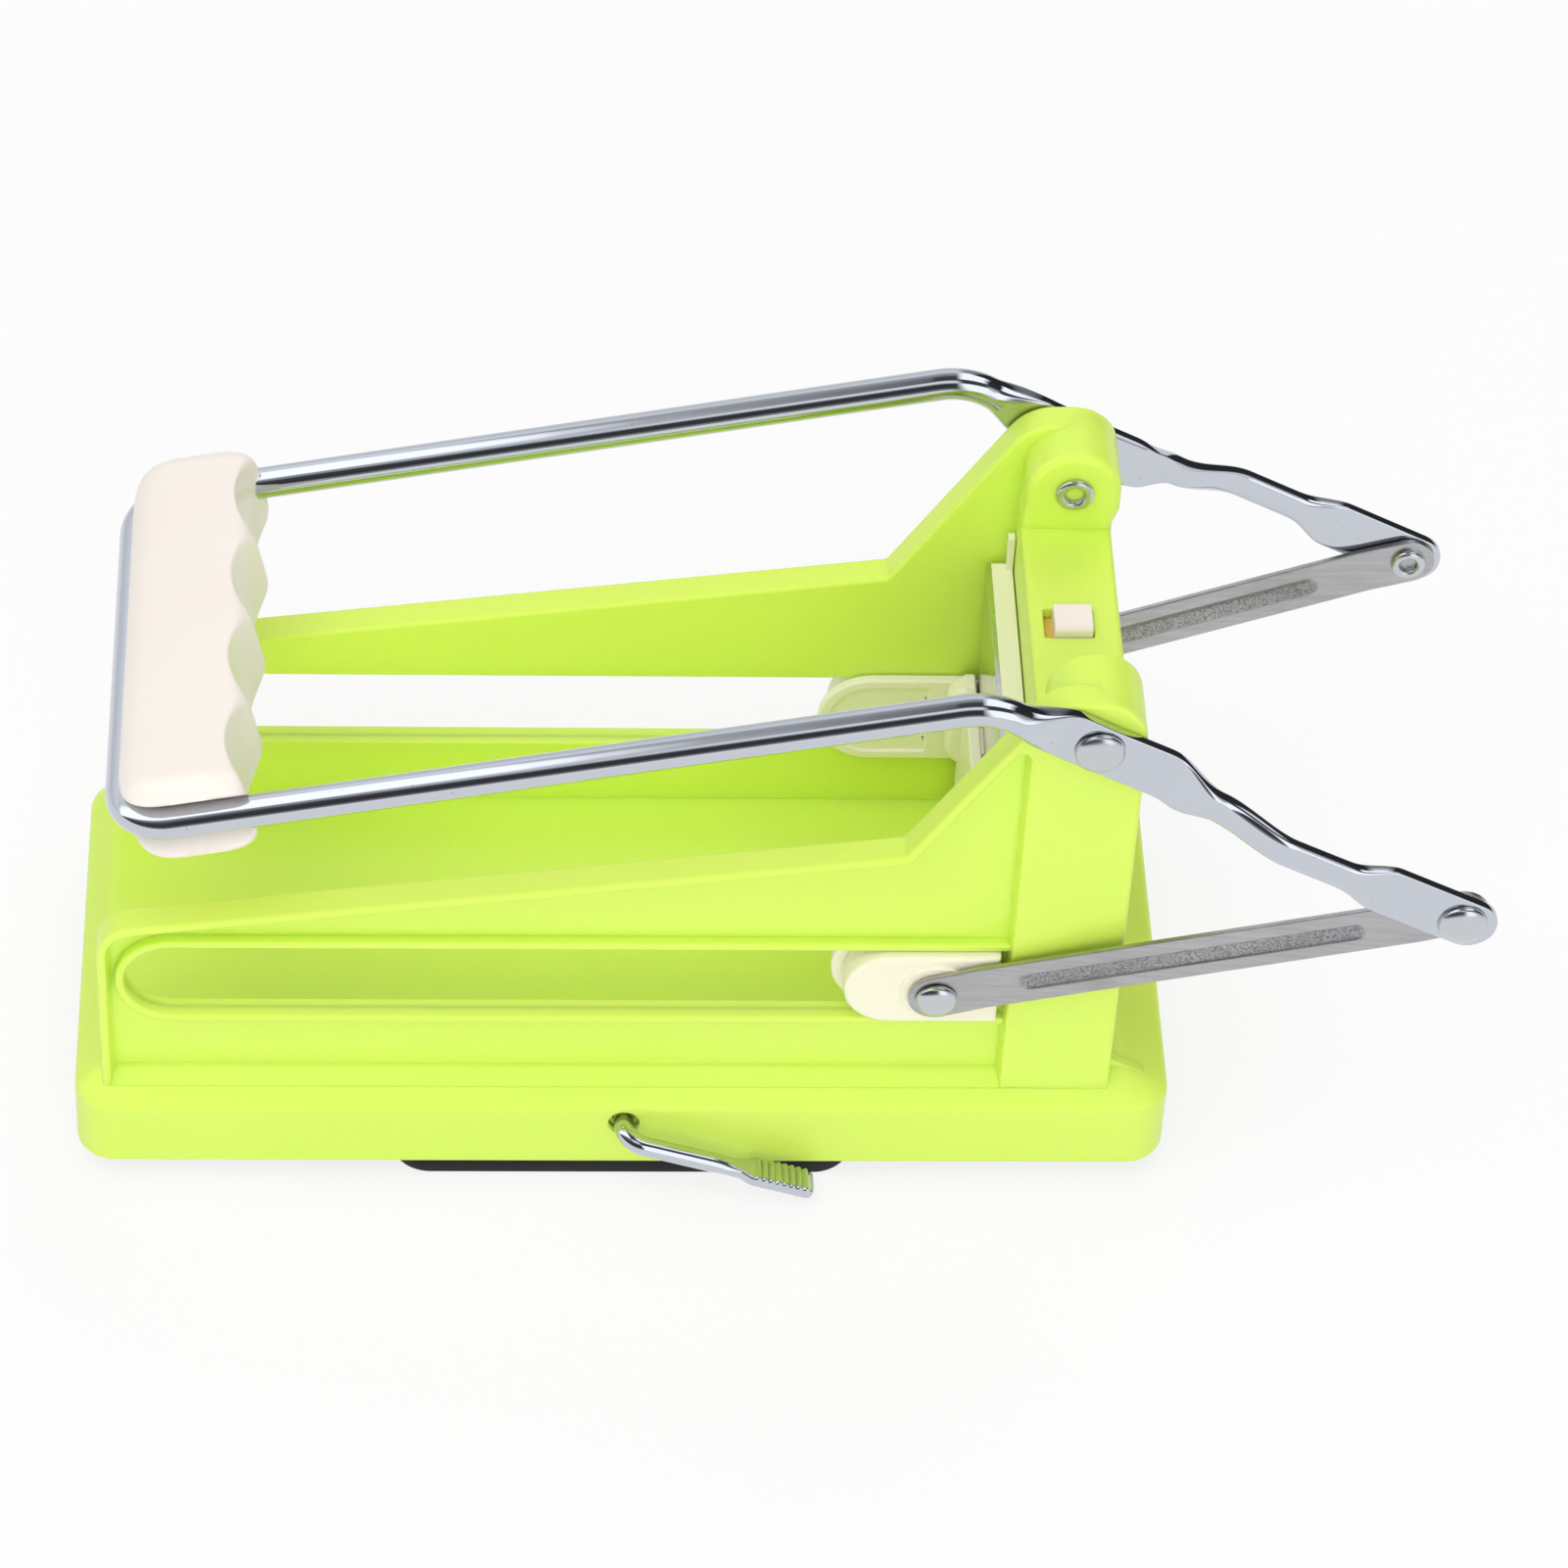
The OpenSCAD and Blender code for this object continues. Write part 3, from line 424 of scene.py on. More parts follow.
def settle(obj: bpy.types.Object, body: str, finish: "Finish", stands_for: Sequence[str] = ()) -> None:
    """Dresses a finished object and hangs it on its body in place of CAD nodes.

    Args:
        obj: the object.
        body: the body that it moves with.
        finish: its finish.
        stands_for: CAD nodes that it replaces.
    """
    obj.data.materials.clear()
    obj.data.materials.append(finish.material())
    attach(obj, body)
    if stands_for:
        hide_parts(*stands_for)
    log.info("%s: %d faces on %s", obj.name, len(obj.data.polygons), body)


def bent(points: Array, radii: Sequence[float], step: float) -> Array:
    """Centre line of a bent wire, with a point about every step.

    A corner between unit directions u and v with angle q becomes an arc about the corner moved along
    the bisector v - u by r / cos(q/2).

    Args:
        points: corners, the two ends included, [n, 3].
        radii: bend radius at each inner corner.
        step: distance between the points.

    Returns:
        Points of the centre line, [m, 3].
    """
    line = [points[:1]]
    for p, r, a, b in zip(points[1:-1], radii, points[:-2], points[2:]):
        u, v = unit(p - a), unit(b - p)
        q = math.acos(float(np.clip(u @ v, -1, 1)))
        centre = p + unit(v - u) * r / math.cos(q / 2)
        first = p - u * r * math.tan(q / 2) - centre
        t = np.linspace(0, q, max(6, int(q * r / step)))[:, None]
        line.append(centre + first * np.cos(t) + u * r * np.sin(t))
    line.append(points[-1:])
    rough = np.concatenate(line)
    s = along(rough)
    keep = np.concatenate([[True], np.diff(s) > 1e-9])
    at = np.linspace(0, s[-1], int(s[-1] / step) + 2)
    return np.stack([np.interp(at, s[keep], rough[keep][:, k]) for k in range(3)], 1)


def oval(up: Array, down: Array, half: Array, power: Array, steps: int) -> Array:
    """Sections between a circle and a flat bar.

    A point at angle q is (h |sin q|^(2/p) with the sign of sin q, t |cos q|^(2/p) with the sign of
    cos q), where h is the upper or the lower half width, t the half thickness and p the power: 2 for
    an ellipse, and more for a bar with rounded edges.

    Args:
        up: upper half width of each section.
        down: lower half width.
        half: half thickness.
        power: power of each section.
        steps: points round a section.

    Returns:
        Offsets, [n, steps, 2].
    """
    q = np.linspace(0, 2 * math.pi, steps, endpoint=False)[None]
    rise, out = np.sin(q), np.cos(q)
    k = 2 / power[:, None]
    height = np.where(rise > 0, up[:, None], down[:, None])
    first = height * np.sign(rise) * np.abs(rise) ** k
    second = half[:, None] * np.sign(out) * np.abs(out) ** k
    return np.stack([first, second], -1)


# ---------- finishes ----------


def srgb(red: int, green: int, blue: int) -> Colour:
    """A screen colour as linear numbers."""
    c = np.array([red, green, blue]) / 255
    return tuple(np.where(c <= 0.04045, c / 12.92, ((c + 0.055) / 1.055) ** 2.4).tolist())


def darker(colour: Colour, share: float) -> Colour:
    """A colour with this share of its light."""
    return tuple(c * share for c in colour)


class Tree:
    """A node tree while it is put together."""

    def __init__(self, owner: bpy.types.Material | bpy.types.World) -> None:
        """Starts an empty tree in a material or a world."""
        owner.use_nodes = True
        self.nodes, self.links = owner.node_tree.nodes, owner.node_tree.links
        self.nodes.clear()

    def feed(self, socket: Socket, value: Fed) -> None:
        """Leads a socket in, or sets a value; a colour gets its fourth number."""
        if isinstance(value, Socket):
            self.links.new(value, socket)
        elif isinstance(value, tuple) and len(socket.default_value) == 4:
            socket.default_value = (*value, 1.0)
        else:
            socket.default_value = value

    def add(self, kind: str, *fed: tuple[int | str, Fed], **settings: str) -> bpy.types.Node:
        """Adds a node.

        Args:
            kind: the node's type without "ShaderNode".
            *fed: (name or number of an input, what it gets).
            **settings: the node's own settings.

        Returns:
            The node.
        """
        node = self.nodes.new("ShaderNode" + kind)
        for name, choice in settings.items():
            setattr(node, name, choice)
        for key, value in fed:
            self.feed(node.inputs[key], value)
        return node

    def math(self, operation: str, first: Fed, second: Fed) -> Socket:
        """Arithmetic on two values."""
        return self.add("Math", (0, first), (1, second), operation=operation).outputs[0]

    def blend(self, share: Socket, first: Fed, second: Fed) -> Socket:
        """Colour between two, by a share from 0 to 1."""
        return self.add("Mix", (0, share), (6, first), (7, second), data_type="RGBA").outputs[2]

    def ranged(self, value: Socket, low: float, high: float, first: float = 0.0, last: float = 1.0) -> Socket:
        """Maps low..high to first..last, held at both ends."""
        ends = ("From Min", low), ("From Max", high), ("To Min", first), ("To Max", last)
        return self.add("MapRange", ("Value", value), *ends).outputs[0]


class Bench(Tree):
    """A material's node tree, with one principled shader."""

    def __init__(self, name: str) -> None:
        """Starts the material."""
        self.made = bpy.data.materials.new(name)
        super().__init__(self.made)
        self.shader = self.add("BsdfPrincipled")
        self.add("OutputMaterial", (0, self.shader.outputs[0]))
        self.place = self.add("TexCoord").outputs["Object"]

    def set(self, **values: Fed) -> None:
        """Feeds the shader's own sockets, with _ for a space in their names."""
        for name, value in values.items():
            self.feed(self.shader.inputs[name.replace("_", " ")], value)

    def stretched(self, scale: Colour, turn: Colour = (0.0, 0.0, 0.0)) -> Socket:
        """Object coordinates, turned and then stretched."""
        return self.add("Mapping", ("Vector", self.place), ("Rotation", turn), ("Scale", scale)).outputs[0]

    def noise(self, scale: float, detail: float, where: Socket | None = None) -> Socket:
        """Noise from 0 to 1 with this many waves in a metre."""
        fed = ("Vector", where or self.place), ("Scale", scale), ("Detail", detail)
        return self.add("TexNoise", *fed).outputs[0]

    def bumps(self, *layers: tuple[Socket, float, float]) -> None:
        """Lays bumps over each other, each as (height, strength, depth in metres)."""
        under: list[tuple[str, Socket]] = []
        for height, strength, depth in layers:
            fed = ("Height", height), ("Strength", strength), ("Distance", depth)
            under = [("Normal", self.add("Bump", *fed, *under).outputs[0])]
        self.set(Normal=under[0][1])


@dataclass(frozen=True)
class Finish:
    """A finish with its material slot; each kind dresses a bench its own way."""

    name: str
    slot: str

    def dress(self, bench: Bench) -> None:
        """Puts the nodes of this finish on the bench."""
        raise NotImplementedError

    def material(self) -> bpy.types.Material:
        """The finish's material, made once."""
        found = bpy.data.materials.get(self.name)
        if found is None:
            bench = Bench(self.name)
            self.dress(bench)
            found = bench.made
        return found


@dataclass(frozen=True)
class Plastic(Finish):
    """Moulded plastic: faint flow clouds, fine grain, and a soft gloss that varies."""

    colour: Colour
    deep: Colour
    roughness: float = 0.3
    glow: float = 0.0
    grain: float = 0.03

    def dress(self, bench: Bench) -> None:
        """Flow clouds in the colour, soft patches in the roughness, waves and grain in the bump."""
        flow = bench.noise(14.0, 5.0, bench.stretched((1.0, 2.4, 1.6)))
        patches = bench.noise(60.0, 1.0)
        waves, grain = bench.noise(42.0, 1.0), bench.noise(1100.0, 2.0)
        bench.bumps((waves, 0.05, 0.0003), (grain, self.grain, 0.0001))
        bench.set(
            Base_Color=bench.blend(bench.ranged(flow, 0.3, 0.7), self.deep, self.colour),
            Roughness=bench.ranged(patches, 0.1, 0.9, self.roughness - 0.03, self.roughness + 0.03),
            IOR=1.5,
            Subsurface_Weight=self.glow,
            Subsurface_Scale=0.006,
            Subsurface_Radius=(1.0, 0.65, 0.12),
        )


@dataclass(frozen=True)
class Chrome(Finish):
    """Bright plating over drawn wire: faint waves, pits and dull smears."""

    colour: Colour
    roughness: float = 0.07

    def dress(self, bench: Bench) -> None:
        """Smears in the roughness, waves and pits in the bump, a darker tone in the pits."""
        smears = bench.noise(45.0, 4.0, bench.stretched((0.6, 2.0, 2.0)))
        pits = bench.ranged(bench.noise(900.0, 3.0), 0.7, 0.78)
        bench.bumps((bench.noise(55.0, 1.0), 0.06, 0.0004), (pits, -0.2, 0.00004))
        bench.set(
            Base_Color=bench.blend(pits, self.colour, darker(self.colour, 0.7)),
            Roughness=bench.ranged(smears, 0.35, 0.7, self.roughness * 0.6, self.roughness * 1.7),
            Metallic=1.0,
        )


@dataclass(frozen=True)
class Steel(Finish):
    """Rolled or stamped steel: grain one way, smudges, stains, and coarse grain where marked."""

    colour: Colour
    stain: Colour
    roughness: float = 0.36
    turn: float = 0.0
    drawn: float = 18.0

    def dress(self, bench: Bench) -> None:
        """Drawn lines and clouds in colour and roughness, speckle where the mesh is marked."""
        drawn, rough = self.drawn, self.roughness
        lines = bench.noise(60.0, 6.0, bench.stretched((1.0, drawn, drawn), (0.0, self.turn, 0.0)))
        clouds = bench.noise(40.0, 5.0)
        speck = bench.noise(2200.0, 3.0)
        mark = bench.add("Attribute", attribute_name="mark").outputs["Fac"]
        tone = bench.blend(bench.ranged(lines, 0.35, 0.65), darker(self.colour, 0.86), self.colour)
        tone = bench.blend(bench.ranged(clouds, 0.6, 0.78, 0.0, 0.75), tone, self.stain)
        grainy = bench.math("MULTIPLY", mark, bench.ranged(speck, 0.42, 0.62, 0.0, 0.8))
        smudges = bench.ranged(clouds, 0.3, 0.7, rough * 0.75, rough * 1.3)
        bench.bumps(
            (lines, rough * 0.35, 0.00006),
            (clouds, rough * 0.22, 0.0002),
            (bench.math("MULTIPLY", mark, speck), 0.7, 0.00012),
        )
        bench.set(
            Base_Color=bench.blend(grainy, tone, darker(self.colour, 0.38)),
            Roughness=bench.math("ADD", smudges, bench.math("MULTIPLY", mark, 0.18)),
            Metallic=1.0,
        )


@dataclass(frozen=True)
class Rubber(Finish):
    """Black rubber with dusty clouds and a fine tooth."""

    colour: Colour
    dust: Colour

    def dress(self, bench: Bench) -> None:
        """Dust on the colour, a tooth in the bump."""
        clouds = bench.noise(30.0, 5.0)
        bench.bumps((bench.noise(1800.0, 3.0), 0.25, 0.0001))
        bench.set(
            Base_Color=bench.blend(bench.ranged(clouds, 0.45, 0.8, 0.0, 0.5), self.colour, self.dust),
            Roughness=bench.ranged(clouds, 0.3, 0.7, 0.5, 0.68),
            Specular_IOR_Level=0.35,
        )


GREEN = Plastic("green_moulding", "green_plastic", srgb(220, 247, 100), srgb(217, 245, 94), 0.32, 0.25)
CREAM = Plastic("cream_moulding", "cream_plastic", srgb(247, 243, 219), srgb(245, 240, 214), 0.34)
GRIP = Plastic("grip_moulding", "grip_plastic", srgb(247, 238, 228), srgb(245, 235, 224), 0.3)
BUTTON = Plastic("button_moulding", "cream_plastic", srgb(250, 236, 226), srgb(248, 232, 222), 0.36)
# painted shade: the tongue is cream plastic coloured the orange-yellow it shows in shadow, lit through the
# green moulding
SHADED_TONGUE = Plastic("tongue_painted_shade", "cream_plastic", srgb(240, 200, 96), srgb(232, 190, 84), 0.4)
BLACK = Plastic("carrier_moulding", "carrier_plastic", srgb(38, 38, 40), srgb(30, 30, 32), 0.45)
CHROME = Chrome("bright_plating", "chrome_wire", srgb(199, 203, 212), 0.05)
NICKEL = Chrome("dull_plating", "rivet_steel", srgb(200, 203, 208), 0.2)
LINK = Steel(
    "stamped_steel", "link_steel", srgb(186, 185, 188), srgb(160, 148, 136), 0.34, math.radians(RISE)
)
BLADE = Steel("blade_strip", "blade_steel", srgb(205, 207, 211), srgb(190, 188, 184), 0.12)
RUBBER = Rubber("black_rubber", "pad_rubber", srgb(24, 24, 26), srgb(52, 52, 53))


# ---------- base ----------


@dataclass
class Base:
    """Green moulding: skirt and deck, two slotted walls, the arch with its ears and bridge."""

    length: float = 220.0
    width: float = 92.4
    skirt: float = 16.5
    skirt_r: float = 8.0
    wall: float = 2.5
    floor: float = 21.5
    tray: float = 36.2
    panel: float = 38.8
    rim: float = 42.8
    rim_t: float = 2.2
    open_end: float = -104.2
    kink: tuple[float, float] = (53.0, 84.8)  # where the wall's top turns up into the ramp, as (x, z)
    top_slope: float = 8.0
    ramp: float = 58.0
    crest_r: float = 10.0
    pillar: float = 75.0
    arch: tuple[float, float] = (78.0, 96.0)  # its two sides along x
    arch_in: float = 33.2
    bridge: tuple[float, float] = (88.0, 107.4)  # lower side, top
    bridge_wall: float = 2.4
    window: tuple[float, float, float] = (0.4, 10.2, 4.1)  # begins, ends past the bridge's wall, half width
    tongue: tuple[float, float, float, float] = (0.6, 2.6, -3.5, 6.5)  # begins, ends past the wall, y to y
    tongue_drop: tuple[float, float] = (4.4, 2.6)  # its lower and upper side under the bridge's top
    ear_r: float = 9.4
    slot: tuple[float, float, float] = (-99.2, 47.2, 9.6)  # blind end, middle height, half height
    lip: tuple[float, float] = (1.8, 41.1)  # width, outer side
    foot: float = 18.2
    wall_edge: float = 0.75
    bridge_edge: float = 1.0
    post: tuple[float, float, float, float] = (38.0, 33.7, 3.6, 1.35)  # x, y, radius, bore
    cross_rib: tuple[float, float] = (74.8, 40.0)  # x, half length
    long_rib: float = 21.8
    long_spans: tuple[tuple[float, float], ...] = ((-105.0, -48.0), (48.0, 102.0))
    rib: tuple[float, float] = (0.9, 13.0)  # half thickness, lower edge
    sunk: float = 0.3  # how far posts and ribs reach into the deck
    bush: tuple[float, float, float, float] = (2.35, 4.6, -44.0, -42.0)  # bore, radius, from y, to y

    def skirt_rings(self, shell: Shell) -> None:
        """Adds the skirt, its shoulders and the deck.

        Each ring is a rounded rectangle with its own left end, right end, half width, radius and
        height, so the shoulders lean in differently on each side and their corners tighten upwards.
        """
        half_l, half_w, t = self.length / 2, self.width / 2, self.wall
        side = np.array(
            [
                # left end, right end, half width, corner radius, height
                [-half_l + t, half_l - t, half_w - t, self.skirt_r - t, 14.6],
                [-half_l + t, half_l - t, half_w - t, self.skirt_r - t, 0.5],
                [-half_l + t - 0.4, half_l - t + 0.4, half_w - t + 0.4, self.skirt_r - t + 0.4, 0.1],
                [-half_l + t - 0.8, half_l - t + 0.8, half_w - t + 0.8, self.skirt_r - t + 0.8, 0.0],
                [-half_l + 0.8, half_l - 0.8, half_w - 0.8, self.skirt_r - 0.8, 0.0],
                [-half_l + 0.25, half_l - 0.25, half_w - 0.25, self.skirt_r - 0.25, 0.25],
                [-half_l, half_l, half_w, self.skirt_r, 0.8],
                [-half_l, half_l, half_w, self.skirt_r, self.skirt - 1.6],
                [-half_l + 0.06, half_l - 0.05, half_w - 0.08, self.skirt_r - 0.1, self.skirt - 0.8],
                [-half_l + 0.32, half_l - 0.4, half_w - 0.42, self.skirt_r - 0.5, self.skirt - 0.05],
                [-half_l + 0.95, half_l - 1.5, half_w - 1.32, self.skirt_r - 1.4, self.skirt + 0.72],
                [self.open_end - 0.9, half_l - 8.1, self.panel + 1.15, 2.3, self.floor - 0.72],
                [self.open_end - 0.3, half_l - 8.8, self.panel + 0.4, 2.0, self.floor - 0.2],
                [self.open_end + 0.7, half_l - 10.0, self.panel - 0.6, 1.4, self.floor],
            ]
        )
        rows = []
        for x0, x1, y, r, z in side:
            rows.append(Plane.TOP.place(Outline.rect(x0, x1, -y, y, r, 10).ring(), z))
        shell.grid(np.stack(rows))
        shell.cap([rows[-1][:, :2]], self.floor, Plane.TOP)
        inner = np.array([-half_l + 5, half_l - 7.5, half_w - 7.6])
        under = Outline.rect(inner[0], inner[1], -inner[2], inner[2], 2.0, 10)
        shell.grid(np.stack([rows[0], Plane.TOP.place(under.ring(), DECK_LOW)]))
        shell.cap([under.ring()], DECK_LOW, Plane.TOP)

    def build_skirt(self) -> None:
        """Makes the skirt with the hole that the suction lever's wire passes through."""
        shell = Shell("base_skirt")
        self.skirt_rings(shell)
        obj = shell.object()
        cutter = Shell("cutter")
        cutter.turned(np.array([[0.0, -60.0], [3.2, -60.0], [3.2, -38.0], [0.0, -38.0]]), (0.0, AXLE))
        tool = cutter.object()
        cut = obj.modifiers.new("lever_hole", "BOOLEAN")
        cut.object = tool
        cut.solver = "EXACT"
        obj.modifiers.move(len(obj.modifiers) - 1, 0)
        with bpy.context.temp_override(object=obj, active_object=obj, selected_objects=[obj]):
            bpy.ops.object.modifier_apply(modifier=cut.name)
        bpy.data.objects.remove(tool)
        settle(obj, "base", GREEN, ("base_body",))

    def wall_outline(self) -> Outline:
        """Outline of a wall with its ramp and its ear."""
        ramp = math.radians(self.ramp)
        top = PIVOT[1] + self.ear_r
        right = PIVOT[0] + self.ear_r
        crest = (self.kink[0] + (top - self.kink[1]) / math.tan(ramp), top)
        left_top = self.kink[1] - (self.kink[0] - self.open_end) * math.tan(math.radians(self.top_slope))
        return Outline(
            (
                (self.open_end, self.foot),
                (right, self.foot),
                (right, top),
                crest,
                self.kink,
                (self.open_end, left_top),
            ),
            (0.8, 0.8, self.ear_r, self.crest_r, 1.6, 8.0),
            12,
        )

    def recess_outline(self) -> Outline:
        """Outline of the panel's field inside the rim, which ends at the pillar."""
        ramp, slope = math.radians(self.ramp), math.radians(self.top_slope)
        left = self.open_end + self.rim_t
        n1 = np.array([math.sin(slope), -math.cos(slope)])
        n2 = np.array([math.sin(ramp), -math.cos(ramp)])
        kink = np.array(self.kink) + self.rim_t * (n1 + n2) / (1 + n1 @ n2)
        left_top = kink[1] - (kink[0] - left) * math.tan(slope)
        ramp_top = kink[1] + (self.pillar - kink[0]) * math.tan(ramp)
        return Outline(
            (
                (left, self.foot + 0.5),
                (self.pillar, self.foot + 0.5),
                (self.pillar, ramp_top),
                tuple(kink.tolist()),
                (left, left_top),
            ),
            (0.4, 0.4, 1.2, 3.4, 5.8),
            12,
        )

    def far_wall(self) -> Shell:
        """Far wall: rim, recessed panel and slot, carried round its outlines by their edge profiles."""
        shell = Shell("wall_far")
        side, field = self.wall_outline(), self.recess_outline()
        x0, mid, r = self.slot
        slot = Outline.rect(x0, self.pillar - 1.2, mid - r, mid + r, (r - 0.01, 0.4, 0.4, r - 0.01), 16)
        turn = slab_edge(self.wall_edge, self.tray, self.rim, steps=5)
        shell.rings(side, turn, Plane.SIDE)
        face = side.ring(turn[0, 0])
        step = profile([(1.2, self.rim), (0.5, self.rim), (-0.35, self.panel), (-0.95, self.panel)], 0.6, 6)
        shell.rings(field, step, Plane.SIDE)
        shell.cap([face, field.ring(step[0, 0])], self.rim, Plane.SIDE)
        hole = profile([(0.36, self.tray), (0, self.tray), (0, self.panel), (0.2, self.panel)], 0.3)
        hole[-1, 0] = hole[-2, 0]
        shell.rings(slot, hole, Plane.SIDE)
        shell.cap([field.ring(step[-1, 0]), slot.ring(hole[-1, 0])], self.panel, Plane.SIDE)
        shell.cap([face, slot.ring(hole[0, 0])], self.tray, Plane.SIDE)
        return shell

    def slot_lip(self, shell: Shell) -> None:
        """Adds the lip that runs round the slot and into the pillar.

        Its section, growth against level, is a bar with rounded outer edges. It is carried along
        the slot's outline from the pillar, round the blind end and back.
        """
        x0, mid, r = self.slot
        width, out = self.lip
        q = np.linspace(math.pi / 2, 3 * math.pi / 2, 28)
        ends = np.array([[self.pillar + 1.0, r]]), np.array([[self.pillar + 1.0, -r]])
        path = np.concatenate([ends[0], np.stack([x0 + r + r * np.cos(q), r * np.sin(q)], 1), ends[1]])
        normal = np.concatenate([[[0.0, 1.0]], np.stack([np.cos(q), np.sin(q)], 1), [[0.0, -1.0]]])
        low = self.panel - 0.8
        corners = [(0.01, low), (0.01, out), (width, out), (width, low)]
        bar = fillet(np.array(corners), np.array([0.05, 0.55, 0.55, 0.05]), 5, closed=True)
        flat = path[:, None] + normal[:, None] * bar[None, :, :1] + [0, mid]
        p = Plane.SIDE.place(flat, np.broadcast_to(bar[None, :, 1], flat.shape[:2]))
        shell.grid(p)
        for row in (0, -1):
            shell.grid(np.stack([p[row], np.broadcast_to(p[row].mean(0), p[row].shape)]))

    def build_walls(self) -> None:
        """Makes both walls with their slot lips."""
        far = self.far_wall()
        self.slot_lip(far)
        near = far.mirrored("wall_near")
        for shell in (far, near):
            shell.piece("base", GREEN, ("base_body",), smooth=30)

    def build_arch(self) -> None:
        """Makes the pillars' inner steps, the ears and the bridge with its window."""
        a0, a1 = self.arch
        pillars = Shell("arch_pillars")
        step = Outline.rect(self.arch_in, self.tray + 0.6, DECK_LOW + 0.4, self.bridge[1] - 0.3, 0.5)
        pillars.block(step, a0, a1, Plane.END, 0.45)
        pillars.both().piece("base", GREEN, ("base_body",))
        ears = Shell("arch_ears")
        px, pz = PIVOT
        r = self.ear_r
        ear = Outline(
            (
                (a0 + 0.1, 96.0),
                (a1 - 0.1, 96.0),
                (a1 + 0.1, 108.0),
                (px + r, 112.0),
                (px + r, pz + r),
                (px - r, pz + r),
                (px - r, 112.0),
                (a0 + 0.05, 108.0),
            ),
            (0.8, 0.8, 3.0, 3.0, r - 0.02, r - 0.02, 1.5, 1.5),
            12,
        )
        ears.block(ear, EAR_IN, self.rim - 1.5, Plane.SIDE, 1.5)
        ears.both().piece("base", GREEN, ("base_body",))
        self.build_bridge()

    def build_bridge(self) -> None:
        """Makes the bridge: a box open below, with the latch's window in its top."""
        shell = Shell("arch_bridge")
        a0, a1 = self.arch
        low, top = self.bridge
        wall = self.bridge_wall
        reach = self.arch_in + 0.4
        body = Outline.rect(a0, a1, -reach, reach, 0.9)
        core = Outline.rect(a0 + wall, a1 - wall, wall - EAR_IN, EAR_IN - wall, 0.8)
        begins, ends, half = self.window
        window = Outline.rect(a0 + wall + begins, a0 + wall + ends, -half, half, 0.5)
        turn = slab_edge(self.bridge_edge, low, top, steps=5)
        shell.rings(body, turn, Plane.TOP)
        face = body.ring(turn[0, 0])
        shell.rings(core, np.array([(0.0, low), (0.0, top - wall)]), Plane.TOP)
        lip = profile([(0.0, top - wall), (0.0, top), (0.33, top)], 0.3)
        shell.rings(window, lip, Plane.TOP)
        shell.cap([face, core.ring()], low, Plane.TOP)
        shell.cap([core.ring(), window.ring()], top - wall, Plane.TOP)
        shell.cap([face, window.ring(lip[-1, 0])], top, Plane.TOP)
        shell.piece("base", GREEN, ("base_body",))
        # The tongue's orange-yellow finish is painted shade on a cream part, tinted as by light through the
        # green moulding.
        tongue = Shell("latch_tongue")
        begins, ends, y0, y1 = self.tongue
        under, over = self.tongue_drop
        plate = Outline.rect(a0 + wall + begins, a0 + wall + ends, y0, y1, 0.3)
        tongue.block(plate, top - under, top - over, Plane.TOP, 0.25)
        tongue.piece("latch", SHADED_TONGUE)

    def build_hips(self) -> None:
        """Makes the wedges at the pillars' feet, each a sloped block beside the deck's end."""
        shell = Shell("pillar_feet")
        hip = PIVOT[0] + self.ear_r
        low, high = self.floor - 2.5, self.floor + 2.0
        slope = (high - self.skirt) / (self.length / 2 - hip)
        wedge = Outline(
            ((hip - 4.0, low), (hip + (high - low) / slope, low), (hip, high), (hip - 4.0, high)),
            (0.2, 0.2, 0.8, 0.2),
        )
        shell.block(wedge, self.tray, self.panel + 0.2, Plane.SIDE, 0.6)
        shell.both().piece("base", GREEN, ("base_body",))

    def build_underside(self) -> None:
        """Makes the screw posts and the ribs under the deck."""
        shell = Shell("deck_posts")
        high = DECK_LOW + self.sunk
        across, aside, radius, bore = self.post
        for x in (-across, across):
            for y in (-aside, aside):
                post, hole = Outline.disc(x, y, radius), Outline.disc(x, y, bore)
                shell.block(post, 3.0, high, Plane.TOP, 0.3, (hole,))
        half, low = self.rib
        place, reach = self.cross_rib
        ribs = [(x - half, x + half, -reach, reach) for x in (-place, place)]
        for y in (-self.long_rib, self.long_rib):
            ribs += [(*span, y - half, y + half) for span in self.long_spans]
        for sides in ribs:
            shell.block(Outline.rect(*sides, 0.4), low, high, Plane.TOP, 0.3)
        bore, radius, y0, y1 = self.bush
        bush = np.array([[bore, y1], [bore, y0], [radius, y0], [radius, y1], [bore, y1]])
        shell.turned(bush, (0.0, AXLE), steps=32)
        shell.piece("base", GREEN, ("base_body",))

    def build(self) -> None:
        """Makes every piece of the base moulding."""
        self.build_skirt()
        self.build_walls()
        self.build_arch()
        self.build_hips()
        self.build_underside()


# ---------- handle ----------


